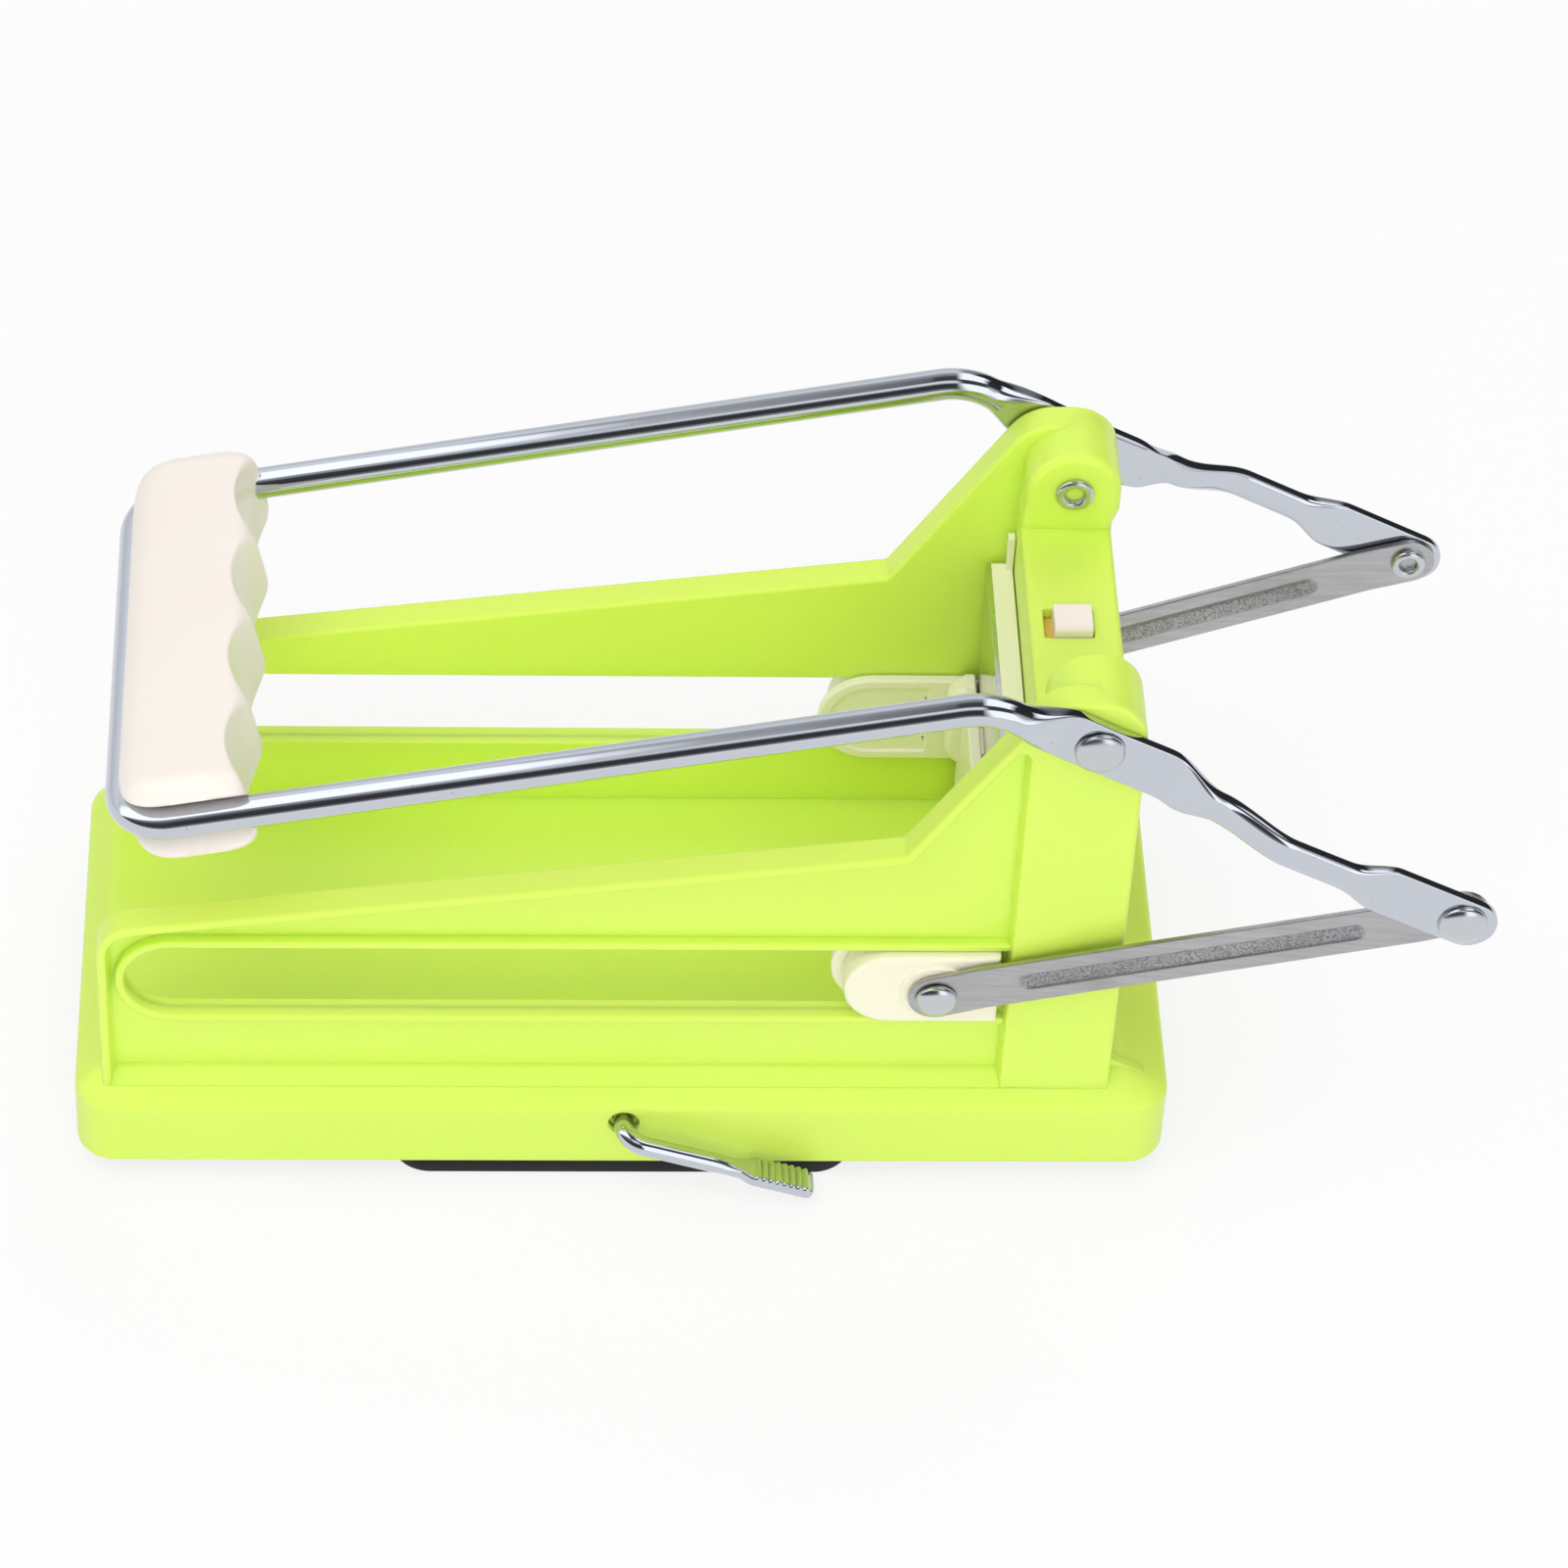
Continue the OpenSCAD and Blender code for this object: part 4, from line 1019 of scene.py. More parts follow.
@dataclass
class Handle:
    """Plated wire with its flattened places, the grip and the rivets at both ends of the crank arms."""

    rail_y: float = 46.3
    rod: float = 3.2
    slope: float = 11.7
    reach: float = 186.2
    bend: tuple[float, float, float] = (24.8, 30.3, 14.0)  # distance from the pivot, slope in degrees, radius
    corner_r: float = 10.0
    arm: tuple[float, float] = (82.8, 28.0)  # length, fall in degrees
    tip: float = 7.0
    flat: tuple[float, float] = (11.4, 2.3)  # width, thickness
    arm_in: float = 50.8
    grip_w: float = 25.8
    grip_h: float = 20.6
    past: float = 2.6
    set_in: float = 0.6
    groove: tuple[float, float] = (7.9, 2.4)  # distance from the corner's centre, half height
    hollows: int = 4
    hollow: float = 4.0
    margin: float = 2.5
    head_r: float = 4.95

    def bend_point(self) -> Array:
        """Place of the rails' bend in side view."""
        back, fall, _ = self.bend
        q = math.radians(fall)
        return np.array(PIVOT) + back * np.array([-math.cos(q), math.sin(q)])

    def bar_point(self) -> Array:
        """Place of the cross bar in side view."""
        bend = self.bend_point()
        x = PIVOT[0] - self.reach
        return np.array([x, bend[1] - (bend[0] - x) * math.tan(math.radians(self.slope))])

    def arm_end(self) -> Array:
        """Place of the link rivet in side view."""
        length, fall = self.arm
        q = math.radians(fall)
        return np.array(PIVOT) + length * np.array([math.cos(q), -math.sin(q)])

    def build_wire(self) -> None:
        """Makes the wire from the cross bar's middle to the tip, and its mirror image.

        The centre line is bent in space. Along it the section changes from a circle to a flat bar
        and back: its upper and lower half widths, half thickness, power and set-out across the tray
        are eased between knots counted from the pivot.
        """
        bar, bend = self.bar_point(), self.bend_point()
        q = math.radians(self.arm[1])
        tip = self.arm_end() + self.tip * np.array([math.cos(q), -math.sin(q)])
        corners = np.array([
            [bar[0], 0, bar[1]],
            [bar[0], self.rail_y, bar[1]],
            [bend[0], self.rail_y, bend[1]],
            [PIVOT[0], self.rail_y, PIVOT[1]],
            [tip[0], self.rail_y, tip[1]],
        ])
        line = bent(corners, [self.corner_r, self.bend[2], 120.0], 0.8)
        s = along(line)
        a = s - s[-1] + self.arm[0] + self.tip
        line, a = self.close_spaced_tip(line, a)
        way = unit(np.gradient(line, axis=0))
        lean = math.radians(self.slope)
        plane_up = np.array([-math.sin(lean), 0, math.cos(lean)])
        up = np.stack([-way[:, 2], 0 * way[:, 0], way[:, 0]], 1)
        on_arm = (a > -self.bend[0] - 20)[:, None]
        up = unit(np.where(on_arm, up, plane_up))
        side = unit(np.cross(way, up))
        r, w, t = self.rod, self.flat[0] / 2, self.flat[1] / 2
        inner, crank = self.rail_y - r, self.arm_in + 1.75
        high = ease(a, [-19, -7, 12.5, 26.5, 56, 65.5], [r, w, w, r, r, w])
        low = ease(a, [-19, -7, 19, 26, 56, 65], [r, w, w, r, r, w])
        half = ease(a, [-19, -6.5, 15, 26, 42.8, 56, 65], [r, t, t, 2.05, 1.75, 1.75, t])
        power = ease(a, [-19, -7, 15, 27, 54, 65], [2.0, 7.0, 7.0, 2.6, 2.6, 7.0])
        set_out = ease(
            a,
            [-19, -6.5, 15, 26, 42.8, 56, 65],
            [self.rail_y, inner + t, inner + t, inner + 4.45, crank, crank, self.arm_in + t],
        )
        left = self.arm[0] + self.tip - a
        round_off = np.sqrt(np.clip(1 - np.clip(1 - left / w, 0, 1) ** 2.4, 0.0, 1))
        centre = line + np.stack([0 * a, set_out - self.rail_y, 0 * a], 1)
        shell = Shell("wire_handle")
        shell.tube(centre, up, side, oval(high * round_off, low * round_off, half, power, 40))
        shell.both().piece("handle", CHROME, ("handle_wire",), smooth=50)

    def close_spaced_tip(self, line: Array, a: Array) -> tuple[Array, Array]:
        """Sets the centre line's last points closer together, so that the round tip is smooth."""
        end = a[-1]
        near = end - 6.0 * np.linspace(1, 0, 26) ** 2
        keep = a < near[0] - 0.4
        at = np.concatenate([a[keep], near])
        return np.stack([np.interp(at, a, line[:, k]) for k in range(3)], 1), at

    def build_grip(self) -> None:
        """Makes the grip as a function of two parameters.

        The first runs along the cross bar, and the second round the section, a rectangle with round
        corners whose ends draw in towards both ends of the grip by quarter ovals. The finger hollows
        are arcs; x is held under them by a soft minimum, so their edges stay fairly crisp.
        """
        end, edge, turn = self.rail_y + self.past, 5.2, self.corner_r + self.past
        high = self.grip_h / 2
        front = self.grip_w + self.set_in
        q = np.linspace(-1, 1, 221)
        y = end * np.sin(q * math.pi / 2) * 0.35 + end * q * 0.65
        gap = end - np.abs(y)

        def drawn_in(radius: float, power: float = 2.0) -> Array:
            """How far an edge of this radius has drawn in at each y."""
            k = np.clip(1 - gap / radius, 0, 1)
            return radius * (1 - (1 - k**power) ** (1 / power))

        x0 = self.set_in + drawn_in(turn, 2.5) * (self.corner_r - self.set_in) / turn
        x1 = front - drawn_in(edge)
        z = high - drawn_in(edge)
        v = np.linspace(0, 2 * math.pi, 96, endpoint=False)
        power = 2 / 4.2
        cx, cz = np.cos(v), np.sin(v)
        rx, rz = np.sign(cx) * np.abs(cx) ** power, np.sign(cz) * np.abs(cz) ** power
        mid, half = (x0 + x1) / 2, (x1 - x0) / 2
        x = mid[:, None] + half[:, None] * rx
        height = z[:, None] * rz
        pitch = 2 * (end - self.margin) / self.hollows
        r = (pitch**2 / 4 + self.hollow**2) / (2 * self.hollow)
        k = (y / pitch + self.hollows / 2) % 1.0 - 0.5
        cut = front - self.hollow + r - np.sqrt(r**2 - (k * pitch) ** 2)
        cut = np.where(np.abs(y) < end - self.margin, cut, front + self.margin)[:, None]
        soft = 0.35
        x = -soft * np.log(np.exp(-(x - 15) / soft) + np.exp(-(cut - 15) / soft)) + 15
        local = np.stack([x, np.broadcast_to(y[:, None], x.shape), height], -1)
        share = np.linspace(0, 1, 9)[:, None, None]
        first, last = local[:1], local[-1:]
        middle = [ring.mean(1, keepdims=True) for ring in (first, last)]
        opening = middle[0] + (first - middle[0]) * share[:-1]
        closing = middle[1] + (last - middle[1]) * share[-2::-1]
        local = np.concatenate([opening, local, closing])
        x, y, height = np.moveaxis(self.grooved(local), -1, 0)
        lean = math.radians(self.slope)
        bar = self.bar_point()
        shell = Shell("grip")
        shell.grid(
            np.stack([
                bar[0] + x * math.cos(lean) - height * math.sin(lean),
                y,
                bar[1] + x * math.sin(lean) + height * math.cos(lean),
            ], -1)
        )
        shell.piece("handle", GRIP, ("handle_grip",), smooth=60)

    def grooved(self, local: Array) -> Array:
        """Presses the groove of the wire into the grip's back and ends.

        The distance from the wire's inner side is counted along the rail's normal, along the corner's
        radius or along the cross bar's normal. It is held to the groove's own distance plus the height
        past the groove's half height, so both flanks open at 45 degrees.

        Args:
            local: points as (along the rails, across, square to the rails).

        Returns:
            The same points, with those in the groove moved inwards.
        """
        start, half = self.groove
        x, y, height = np.moveaxis(local, -1, 0)
        deep, wide = self.corner_r - x, np.abs(y) - (self.rail_y - self.corner_r)
        far = np.hypot(np.maximum(deep, 0), np.maximum(wide, 0))
        most = start + np.maximum(np.abs(height) - half, 0)
        k = np.minimum(most / np.maximum(far, 0.01), 1.0)
        new_x = np.where(deep > 0, self.corner_r - deep * k, x)
        new_y = np.where(wide > 0, np.sign(y) * (np.abs(y) - wide * (1 - k)), y)
        return np.stack([new_x, new_y, height], -1)

    def build_rivets(self) -> None:
        """Makes the pivot rivets on the base and the heads of the link rivets on the handle."""
        pivots = Shell("pivot_rivet_pair")
        head = self.rail_y - self.rod + self.flat[1] + 0.15
        dome = rivet_dome(self.head_r, head, 2.1)
        tail = rivet_roll(3.85, 1.9, EAR_IN, 1.35)
        pivots.turned(np.concatenate([tail, dome]), PIVOT)
        pivots.both().piece("base", NICKEL, ("pivot_rivets",), smooth=50)
        heads = Shell("link_rivet_head_pair")
        seat = self.arm_in + self.flat[1]
        shank = [[0.0, self.arm_in + 0.1], [2.1, self.arm_in + 0.1]]
        dome = rivet_dome(self.head_r, seat, 2.1)
        heads.turned(np.concatenate([shank, dome]), tuple(self.arm_end()))
        heads.both().piece("handle", NICKEL, ("link_rivet_heads",), smooth=50)

    def build(self) -> None:
        """Makes the wire, the grip and the rivets."""
        self.build_wire()
        self.build_grip()
        self.build_rivets()


def rivet_dome(r: float, y: float, h: float) -> Array:
    """Profile of a domed head that sits at y, as (radius, y) pairs from shank to top.

    A thin upright rim is followed by a low dome, h times the cosine of the angle, over its radius
    times the sine.
    """
    q = np.linspace(math.pi / 2, 0, 14)
    rim = 0.45
    dome = np.stack([(r - 0.15) * np.sin(q) ** 0.9, y + rim + (h - rim) * np.cos(q)], 1)
    return np.concatenate([[[2.0, y], [r - 0.2, y], [r, y + 0.2], [r - 0.02, y + rim]], dome])


def rivet_roll(r: float, bore: float, y: float, h: float) -> Array:
    """Profile of a rolled rivet end on the face at y, as (radius, y) pairs from axis to shank.

    The bore's floor comes first, then its wall, then a half ring over the rim, which stands h proud.
    """
    q = np.linspace(0, math.pi, 12)
    mid, half = (r + bore) / 2, (r - bore) / 2
    ring = np.stack([mid - half * np.cos(q), y - h * 0.45 - h * 0.55 * np.sin(q)], 1)
    floor = [[0.0, y + 1.6], [bore * 0.4, y + 1.2], [bore * 0.75, y + 0.6], [bore * 0.94, y - h * 0.2]]
    return np.concatenate([floor, ring, [[r, y + 0.05], [2.0, y + 0.1]]])


# ---------- links and pusher ----------


@dataclass
class Links:
    """Two stamped steel links with a pressed bead, and the rivet tails that close them."""

    length: float = 104.87
    width: float = 11.0
    thick: float = 1.2
    bead: float = 0.5
    seat: tuple[float, float] = (43.5, 49.4)  # inner side at the shoe, at the handle

    def far_link(self) -> Shell:
        """Far link as a height over its length and width.

        Across the tray, the middle of the metal follows the set-out from seat to seat, and the bead
        takes both faces inwards by its depth over a long oval groove.
        """
        shell = Shell("link_strip_far")
        half = self.width / 2
        q = np.linspace(0, math.pi / 2, 14)
        ends = half * (1 - np.cos(q))
        middle = np.linspace(0, self.length, 190)[1:-1]
        x = np.concatenate([ends - half, middle, (self.length + half - ends)[::-1]])
        over = np.clip(np.maximum(-x, x - self.length), 0, half)
        wide = np.sqrt(np.maximum(half**2 - over**2, 0))
        v = np.concatenate([[-1, -0.97], np.linspace(-0.9, 0.9, 41), [0.97, 1]])
        z = wide[:, None] * v
        x = np.broadcast_to(x[:, None], z.shape)
        y = np.interp(x, [9, self.length - 9], self.seat)
        start, stop = self.length * 0.18, self.length * 0.8
        away = np.hypot(np.maximum(np.maximum(start - x, x - stop), 0), z)
        groove = np.clip((2.35 - away) / 0.75, 0, 1)
        groove = groove * groove * (3 - 2 * groove)
        edge = 0.18 * np.clip((np.abs(v) - 0.95) / 0.05, 0, 1) * np.ones_like(z)
        for level, sign in ((0.0, 1.0), (self.thick, -1.0)):
            face = self.placed(x, y + level - self.bead * groove + sign * edge, z)
            shell.grid(face, closed=False, mark=groove)
        lift = np.array([0, self.thick - 0.36, 0])
        for c in (0, -1):
            side = np.stack([x[:, c], y[:, c] + 0.18, z[:, c]], -1)
            p = np.stack([side, side + lift])
            shell.grid(self.placed(p[..., 0], p[..., 1], p[..., 2]), closed=False)
        return shell

    def placed(self, x: Array, y: Array, z: Array) -> Array:
        """Turns link coordinates about the pusher rivet and moves them there."""
        q = math.radians(RISE)
        return np.stack([
            PIN[0] + x * math.cos(q) - z * math.sin(q), y, PIN[1] + x * math.sin(q) + z * math.cos(q)
        ], -1)

    def build(self) -> None:
        """Makes both links and the rolled tails at their handle ends."""
        far = self.far_link()
        end = self.placed(np.array(self.length), np.array(0.0), np.array(0.0))
        tail = Shell("link_tail_far")
        roll = rivet_roll(3.55, 1.75, self.seat[1], 1.3)
        tail.turned(np.concatenate([roll, [[0.0, self.seat[1] + 1.1]]]), (float(end[0]), float(end[2])))
        for side, sign in (("far", 1), ("near", -1)):
            strip = far if sign > 0 else far.mirrored("link_strip_near")
            strip.piece(f"{side}_link", LINK, (f"link_{side}",), smooth=45, keep_marks=True)
            roll_piece = tail if sign > 0 else tail.mirrored("link_tail_near")
            roll_piece.piece(f"{side}_link", NICKEL, (f"link_rivet_tail_{side}",), smooth=50)


@dataclass
class Pusher:
    """Off-white pusher with its pegs and cheeks, the slide shoes and their rivets."""

    out: float = 35.9
    shoe_y: float = 42.6
    boss_y: float = 43.2
    flange_t: float = 2.2
    flange_h: float = 11.2
    slot_r: float = 9.3
    back: float = 18.2
    front: float = 12.6
    head_y: float = 44.85
    face: float = 72.2
    plate: tuple[float, float, float, float] = (2.5, 33.7, 21.8, 61.3)  # thickness, half width, low, high
    cheek: tuple[float, float, float, float] = (5.7, 5.6, 39.3, 61.6)  # depth, width, low, high
    grid: tuple[int, int, float, float] = (6, 4, 9.5, 23.7)  # columns, rows, spacing, lower edge
    peg: tuple[float, float] = (7.9, 12.15)  # side, length

    def far_shoe(self) -> Shell:
        """Far slide shoe: flange inside the wall, block in the slot, boss under the link."""
        shell = Shell("shoe_far")
        px, pz = PIN

        def slab(r: float, x0: float, x1: float, left: float) -> Outline:
            """Outline about the pin, round at the back end."""
            return Outline.rect(px - x0, px + x1, pz - r, pz + r, (left, 0.5, 0.5, left), 12)

        flange = slab(self.flange_h, self.back + 2.3, 9.3, self.flange_h - 0.05)
        dish = slab(self.flange_h - 2.2, self.back, 2.0, self.flange_h - 2.3)
        low, high = self.out - self.flange_t, self.out
        turn = slab_edge(0.5, low, high)
        shell.rings(flange, turn, Plane.SIDE)
        face = flange.ring(turn[0, 0])
        sunk, end = low + 0.7, self.out + 0.6
        shell.rings(dish, profile([(0.3, low), (0, low), (0, sunk), (-0.3, sunk)], 0.28), Plane.SIDE)
        cup = Outline.disc(px, pz, 5.0)
        shell.rings(cup, profile([(0.3, sunk), (0, sunk), (0, end), (-0.3, end)], 0.28), Plane.SIDE)
        shell.cap([face, dish.ring(0.3)], low, Plane.SIDE)
        shell.cap([dish.ring(-0.3), cup.ring(0.3)], sunk, Plane.SIDE)
        shell.cap([cup.ring(-0.3)], end, Plane.SIDE)
        shell.cap([face], high, Plane.SIDE)
        block = slab(self.slot_r, self.back, self.front, self.slot_r - 0.05)
        shell.block(block, self.out - 0.1, self.shoe_y, Plane.SIDE, 0.9)
        shell.block(Outline.disc(px, pz, 7.2, 14), self.out, self.boss_y, Plane.SIDE, 0.4)
        return shell

    def build_plate(self) -> None:
        """Makes the plate, its two rounded cheeks and the pegs that press through the grid."""
        shell = Shell("pusher_body")
        thick, half, low, high = self.plate
        shell.block(Outline.rect(-half, half, low, high, 1.2), self.face - thick, self.face, Plane.END, 0.5)
        deep, wide, foot, crown = self.cheek
        for y0, y1 in ((half - wide, half), (-half, wide - half)):
            cheek = Outline.rect(self.face - deep, self.face - 0.3, foot, crown, (5.2, 0.1, 0.1, 5.2), 14)
            shell.block(cheek, y0, y1, Plane.SIDE, 1.5)
        columns, rows, cell, base = self.grid
        side, reach = self.peg
        for i in range(columns):
            for j in range(rows):
                y, z = (i - (columns - 1) / 2) * cell, base + (j + 0.5) * cell
                peg = Outline.rect(y - side / 2, y + side / 2, z - side / 2, z + side / 2, 0.6, 4)
                shell.block(peg, self.face - 0.6, self.face + reach, Plane.END, 0.5)
        shell.piece("pusher", CREAM, ("pusher_plate",))

    def build(self) -> None:
        """Makes the shoes, the pusher and the rivets."""
        self.build_plate()
        far = self.far_shoe()
        near = far.mirrored("shoe_near")
        far.piece("pusher", CREAM, ("slide_shoe_far",))
        near.piece("pusher", CREAM, ("slide_shoe_near",))
        rivets = Shell("pusher_rivet_pair")
        dome = rivet_dome(4.2, self.head_y, 2.1)
        rivets.turned(np.concatenate([rivet_roll(3.4, 1.7, self.out + 0.6, 1.2), dome]), PIN)
        rivets.both().piece("pusher", NICKEL, ("pusher_rivets",), smooth=50)


# ---------- suction base ----------


@dataclass
class Suction:
    """Rubber pad and the wire lever with its ribbed thumb rest."""

    pad: tuple[float, float] = (93.4, 90.0)  # length, width
    wire: float = 2.0
    turn_r: float = 4.5
    reach: float = 40.7
    fall: float = 19.0
    out: float = 51.1
    thumb: tuple[float, float, float] = (15.5, 6.0, 2.6)  # length, width, thickness
    ribs: int = 8

    def build_pad(self) -> None:
        """Makes the pad: a rounded plate with a thin lip that stands on the table and a hollow below.

        A round well in its top takes the stud, and the well's floor stands out below as a low boss.
        """
        shell = Shell("rubber_pad")
        length, width = self.pad
        outline = Outline.rect(-length / 2, length / 2, -width / 2, width / 2, 8.0, 14)
        edge = np.array([
            (-32.0, -3.3), (-14.0, -3.4), (-7.0, -3.9), (-2.2, -4.5), (-0.5, -4.5),
            (-0.08, -4.3), (0.0, -3.9), (-0.05, -2.4), (-0.5, -1.5), (-1.1, -1.25),
            (-2.8, -1.2), (-3.0, -1.0), (-3.0, 0.55), (-4.0, 0.6),
        ])
        shell.rings(outline, edge, Plane.TOP)
        well, boss = Outline.disc(0, 0, 9.5), Outline.disc(0, 0, 11.0)
        shell.cap([outline.ring(-32.0), boss.ring()], -3.3, Plane.TOP)
        shell.cap([outline.ring(-4.0), well.ring()], 0.6, Plane.TOP)
        shell.rings(well, np.array([(0.0, 0.6), (0.0, -3.3)]), Plane.TOP)
        shell.cap([well.ring()], -3.3, Plane.TOP)
        shell.rings(boss, np.array([(0.0, -3.3), (-0.2, -3.9), (-0.7, -4.1)]), Plane.TOP)
        shell.cap([boss.ring(-0.7)], -4.1, Plane.TOP)
        shell.piece("base", RUBBER, ("suction_pad",))

    def build_lever(self) -> None:
        """Makes the lever: a bent wire that flattens into a thumb rest with ribs across its top.

        The ribs are half waves of the sine on the upper side of the section.
        """
        q = math.radians(self.fall)
        way = np.array([math.cos(q), 0, -math.sin(q)])
        start = np.array([0.0, -38.0, AXLE])
        corner = np.array([0.0, -self.out, AXLE])
        line = bent(np.stack([start, corner, corner + way * self.reach]), [self.turn_r], 0.16)
        s = along(line)
        a = s - s[-1] + self.thumb[0]
        ahead = unit(np.gradient(line, axis=0))
        up0 = np.array([math.sin(q), 0, math.cos(q)])
        up = unit(up0 - ahead * (ahead @ up0)[:, None])
        side = np.cross(ahead, up)
        length, wide, thick = self.thumb
        half = ease(a, [-6, -0.5, 2.5], [self.wire, self.wire * 0.95, wide / 2])
        flat = ease(a, [-7, 0.5], [self.wire, thick / 2])
        power = ease(a, [-4, 2], [2.0, 5.0])
        left = np.clip(length - a, 0, None)
        tip = np.sqrt(np.clip(1 - np.clip(1 - left / 1.4, 0, 1) ** 2, 0, 1))
        pitch = (length - 1.2 - 2.5) / self.ribs
        on_ribs = (a > 2.5) & (a < 2.5 + pitch * self.ribs)
        wave = np.where(on_ribs, np.abs(np.sin(math.pi * (a - 2.5) / pitch)), 0.0)
        half = half * (0.6 + 0.4 * tip) + 0.12 * wave
        thin = flat * (0.35 + 0.65 * tip)
        section = oval(thin + 0.6 * wave, thin, half, power, 40)
        shell = Shell("lever_wire")
        shell.tube(line, up, side, section)
        inner = np.stack([np.zeros(24), np.linspace(-38.5, 14.0, 24), np.full(24, AXLE)], 1)
        sag = ease(inner[:, 1], [-8, -5.5, 5.5, 8], [0, -1.5, -1.5, 0])
        inner[:, 2] += sag
        plain = np.full(24, self.wire)
        ring = oval(plain, plain, plain, np.full(24, 2.0), 32)
        shell.tube(inner, np.tile([0.0, 0, 1], (24, 1)), np.tile([1.0, 0, 0], (24, 1)), ring)
        shell.piece("suction_lever", CHROME, ("suction_lever",), smooth=50)

    def build(self) -> None:
        """Makes the pad and the lever."""
        self.build_pad()
        self.build_lever()


# ---------- pieces that keep their CAD shape ----------


@dataclass
class Carried:
    """CAD nodes that keep their shape and get softened edges and a finish."""

    finishes: tuple[tuple[str, Finish, float], ...] = (
        ("blade_cassette", CREAM, 0.35),
        ("cassette_front_plate", BLADE, 0.12),
        ("front_plate_screws", NICKEL, 0.1),
        ("upright_blades", BLADE, 0.0),
        ("level_blades", BLADE, 0.0),
        ("latch_button", BUTTON, 0.35),
        ("pad_carrier", BLACK, 0.2),
        ("pad_stud", CREAM, 0.2),
        ("carrier_screws", NICKEL, 0.1),
    )

    def soften(self, obj: bpy.types.Object, radius: float) -> None:
        """Rounds a node's edges with modifiers, which leave its mesh as it is."""
        weld = obj.modifiers.new("weld", "WELD")
        weld.merge_threshold = 5e-6
        if radius:
            flat = obj.modifiers.new("flat_faces", "DECIMATE")
            flat.decimate_type = "DISSOLVE"
            flat.angle_limit = math.radians(2)
            edge = obj.modifiers.new("soft_edges", "BEVEL")
            edge.width = radius * MM
            edge.segments = 3
            edge.limit_method = "ANGLE"
            edge.angle_limit = math.radians(40)
            edge.use_clamp_overlap = True
        even = obj.modifiers.new("even_normals", "WEIGHTED_NORMAL")
        even.weight = 100

    def build(self) -> None:
        """Dresses each node."""
        for name, finish, radius in self.finishes:
            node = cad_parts[name]
            self.soften(node, radius)
            if not node.material_slots:
                node.data.materials.append(None)
            for place in node.material_slots:
                place.link = "OBJECT"
                place.material = finish.material()
            log.info("%s keeps its shape, finish %s", name, finish.name)


# ---------- studio ----------


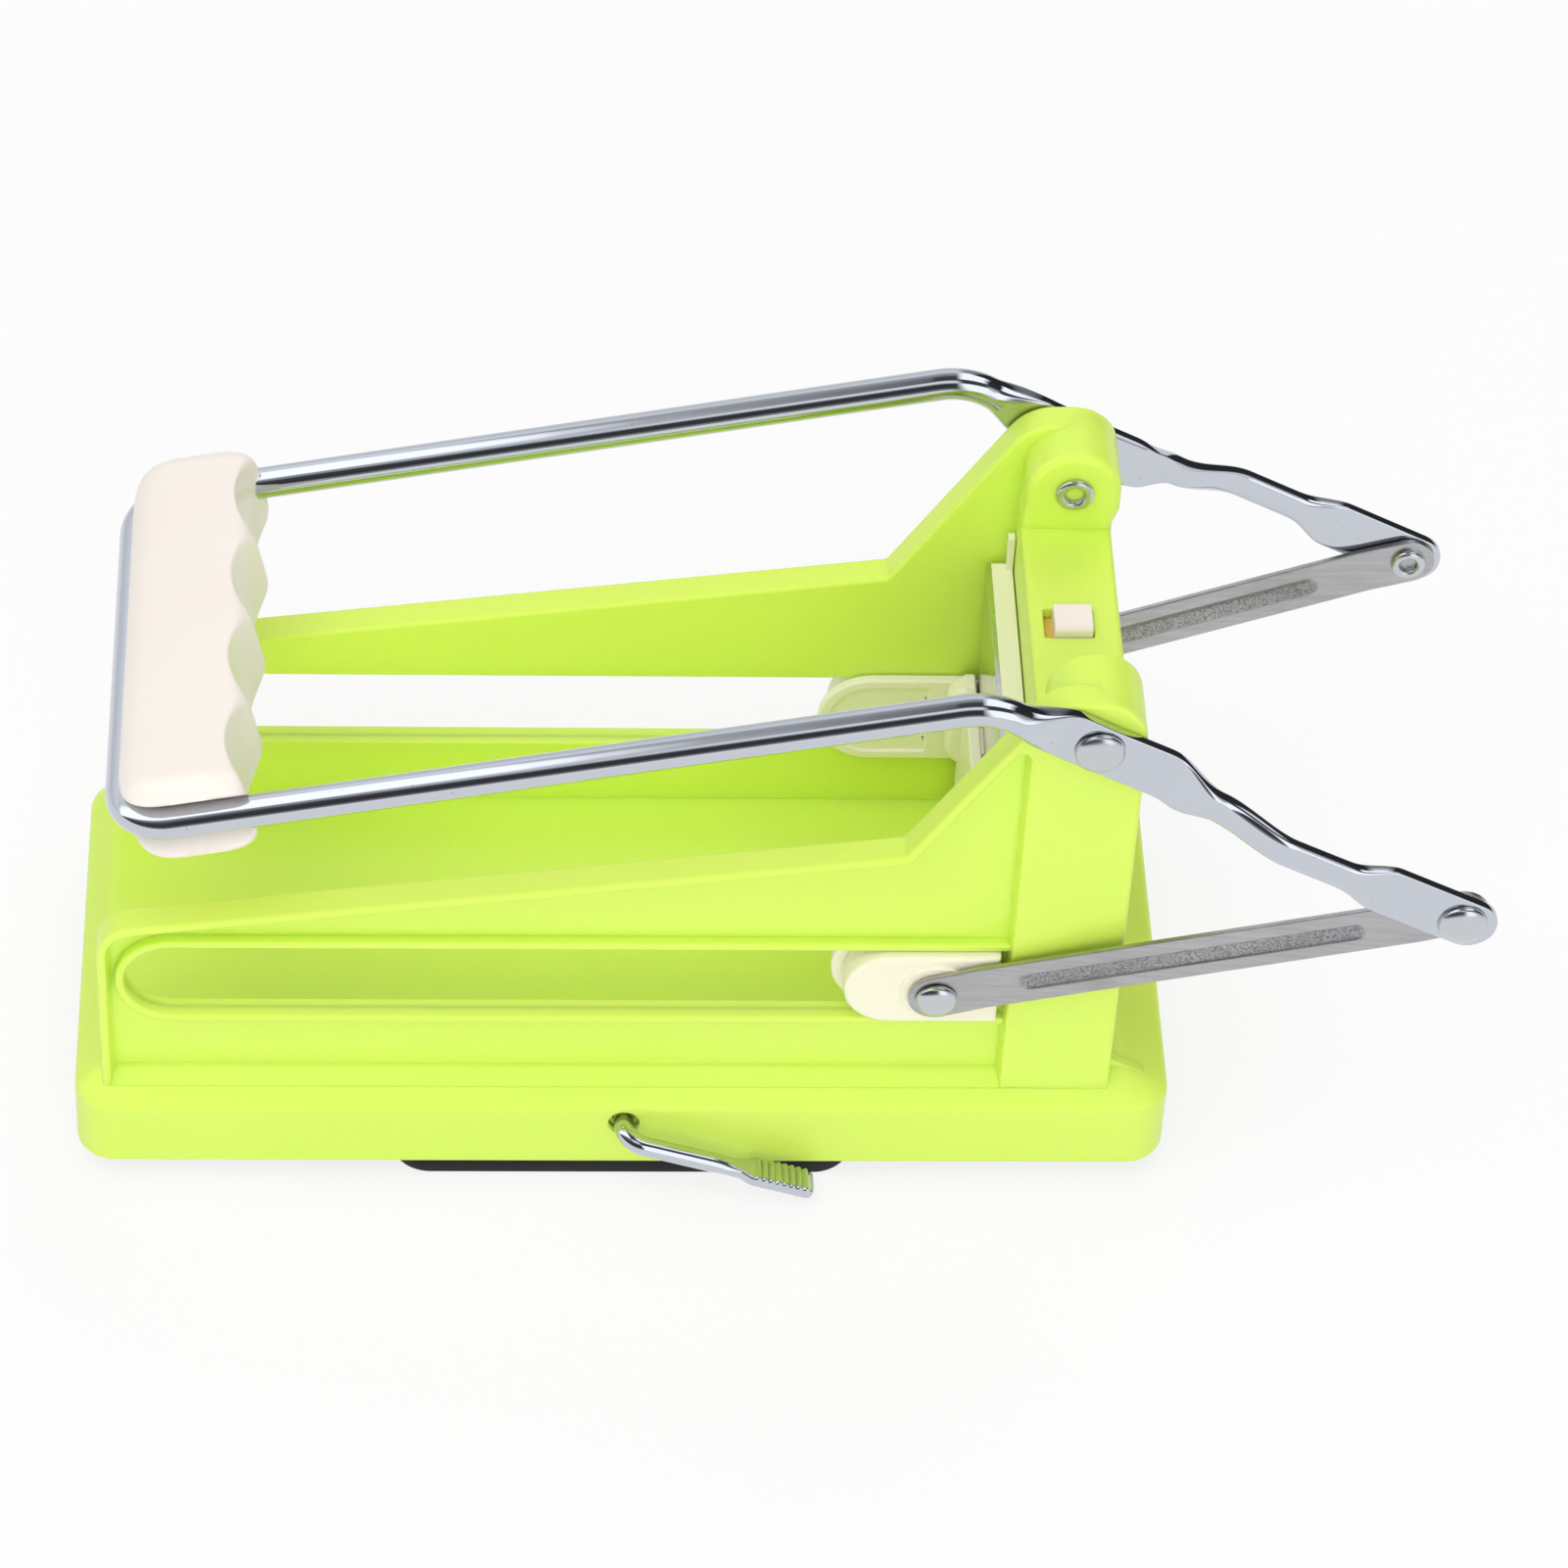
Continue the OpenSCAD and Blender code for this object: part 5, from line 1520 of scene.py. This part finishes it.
@dataclass
class Studio:
    """Floor, soft lamps, a plain pale world and the camera."""

    eye: tuple[float, float, float] = (-0.0371, -0.8982, 0.9676)
    pitch: float = 45.0
    yaw: float = 4.38
    roll: float = -3.42
    lens: float = 145.75
    strips: tuple[tuple[float, float, tuple[tuple[float, float], ...]], ...] = (
        # x where a set of strips begins and where it is full, then (degrees from +Y over the top, tone)
        (-1.0, -0.9, (
            (0, 0.8), (25, 0.85), (40, 1.0), (52, 0.85), (60, 1.7), (113, 1.7), (120, 0.4),
            (128, 0.3), (136, 0.12), (150, 0.06), (170, 0.07), (180, 0.3),
        )),
        (-0.325, -0.3, (
            (0, 0.8), (25, 0.95), (42, 1.2), (50, 1.0), (58, 0.55), (75, 0.52), (90, 0.45),
            (105, 0.6), (118, 0.8), (128, 0.75), (134, 0.1), (150, 0.05), (168, 0.06), (180, 0.32),
        )),
        (-0.29, -0.25, (
            (0, 0.8), (25, 0.85), (42, 1.0), (52, 0.75), (62, 0.45), (76, 0.28), (86, 0.08),
            (110, 0.07), (118, 0.7), (125, 1.25), (132, 0.7), (140, 0.06), (165, 0.05), (180, 0.35),
        )),
        (0.12, 0.24, (
            (0, 0.5), (40, 0.3), (54, 1.6), (100, 1.6), (107, 0.08), (130, 0.06), (138, 1.6),
            (180, 1.6),
        )),
        (0.34, 0.46, (
            (0, 0.03), (50, 0.03), (58, 1.6), (100, 1.6), (107, 0.08), (130, 0.06), (138, 1.6),
            (180, 1.6),
        )),
        (0.6, 0.7, ((0, 0.03), (112, 0.04), (124, 0.45), (150, 0.85), (180, 0.95))),
    )

    def whitened(self, tree: Tree) -> Socket:
        """Share that is 1 for rays of the camera, of gloss and of clear pieces."""
        rays = tree.add("LightPath").outputs
        seen = tree.math("MAXIMUM", rays["Is Camera Ray"], rays["Is Glossy Ray"])
        return tree.math("MAXIMUM", seen, rays["Is Transmission Ray"])

    def build_floor(self) -> None:
        """Makes the floor, which shows white but keeps the object's shadow."""
        mesh = bpy.data.meshes.new("floor")
        mesh.from_pydata([(-4, -4, 0), (4, -4, 0), (4, 4, 0), (-4, 4, 0)], [], [(0, 1, 2, 3)])
        obj = bpy.data.objects.new("floor", mesh)
        bpy.context.scene.collection.objects.link(obj)
        paper = bpy.data.materials.new("paper")
        tree = Tree(paper)
        matt = tree.add("BsdfDiffuse", (0, (0.9, 0.9, 0.9)))
        white = tree.add("Emission")
        share = tree.math("MULTIPLY", self.whitened(tree), 0.8)
        mix = tree.add("MixShader", (0, share), (1, matt.outputs[0]), (2, white.outputs[0]))
        tree.add("OutputMaterial", (0, mix.outputs[0]))
        mesh.materials.append(paper)

    def strip_ramp(self, tree: Tree, share: Socket, strips: Sequence[tuple[float, float]]) -> Socket:
        """One set of strips as a ramp over the share of half a turn."""
        ramp = tree.add("ValToRGB", (0, share))
        elements = ramp.color_ramp.elements
        while len(elements) < len(strips):
            elements.new(0.5)
        for element, (degrees, tone) in zip(elements, strips):
            element.position = degrees / 180
            element.color = (tone * 0.97, tone * 0.985, tone, 1)
        return ramp.outputs[0]

    def build_world(self) -> None:
        """Makes the world: white to the camera, soft grey as light, long strips in gloss.

        The strips run along X. Their tone depends on the angle whose tangent is z over y, and one
        set of strips gives way to the next towards +X.
        """
        world = bpy.data.worlds.new("studio")
        bpy.context.scene.world = world
        tree = Tree(world)
        rays = tree.add("LightPath").outputs
        way = tree.add("SeparateXYZ", (0, tree.add("TexCoord").outputs["Generated"])).outputs
        share = tree.ranged(tree.math("ARCTAN2", way["Z"], way["Y"]), 0.0, math.pi)
        shown = self.strip_ramp(tree, share, self.strips[0][2])
        for begins, full, strips in self.strips[1:]:
            part = tree.ranged(way["X"], begins, full)
            shown = tree.blend(part, shown, self.strip_ramp(tree, share, strips))
        gloss = tree.add("Background", (0, shown))
        soft = tree.add("Background", (0, (0.96, 0.98, 1.0)), (1, 0.55))
        white = tree.add("Background", (0, (1.0, 1.0, 1.0)))
        shown = soft.outputs[0]
        for ray, instead in (("Is Glossy Ray", gloss), ("Is Camera Ray", white)):
            shown = tree.add("MixShader", (0, rays[ray]), (1, shown), (2, instead.outputs[0])).outputs[0]
        tree.add("OutputWorld", (0, shown))

    def lamp(self, name: str, where: Colour, size: float, watts: float) -> None:
        """Makes a square soft lamp that points at the middle of the object, unseen in gloss."""
        data = bpy.data.lights.new(name, "AREA")
        data.size = size
        data.energy = watts
        obj = bpy.data.objects.new(name, data)
        obj.location = where
        obj.rotation_euler = (Vector((0.0, 0.0, 0.05)) - Vector(where)).to_track_quat("-Z", "Y").to_euler()
        obj.visible_glossy = False
        bpy.context.scene.collection.objects.link(obj)

    def build_camera(self) -> None:
        """Makes the camera from its eye point and its pitch, yaw and roll."""
        p, y, r = (math.radians(v) for v in (self.pitch, self.yaw, self.roll))
        ahead = np.array([math.sin(y) * math.cos(p), math.cos(y) * math.cos(p), -math.sin(p)])
        right = np.array([math.cos(y), -math.sin(y), 0.0])
        up = np.cross(right, ahead)
        turned_right = math.cos(r) * right - math.sin(r) * up
        turned_up = math.sin(r) * right + math.cos(r) * up
        data = bpy.data.cameras.new("camera")
        data.lens = self.lens
        data.sensor_width = 36.0
        data.clip_end = 20.0
        obj = bpy.data.objects.new("camera", data)
        pose = np.eye(4)
        pose[:3, 0], pose[:3, 1], pose[:3, 2], pose[:3, 3] = turned_right, turned_up, -ahead, self.eye
        obj.matrix_world = Matrix(pose.tolist())
        bpy.context.scene.collection.objects.link(obj)
        bpy.context.scene.camera = obj

    def build(self) -> None:
        """Makes the whole studio."""
        self.build_floor()
        self.build_world()
        self.lamp("key_lamp", (-0.5, -0.5, 1.7), 1.3, 12.3)
        self.lamp("front_lamp", (0.2, -1.9, 0.9), 1.4, 14.0)
        self.lamp("back_lamp", (0.6, 1.3, 1.2), 1.0, 5.3)
        self.build_camera()
        bpy.context.scene.view_settings.view_transform = "Standard"


def main() -> None:
    """Builds the studio and every sub-assembly."""
    logging.basicConfig(level=logging.INFO, format="%(name)s: %(message)s")
    for part in (Studio(), Base(), Handle(), Links(), Pusher(), Suction(), Carried()):
        log.info("building %s", type(part).__name__)
        part.build()


if __name__ == "__main__":
    main()
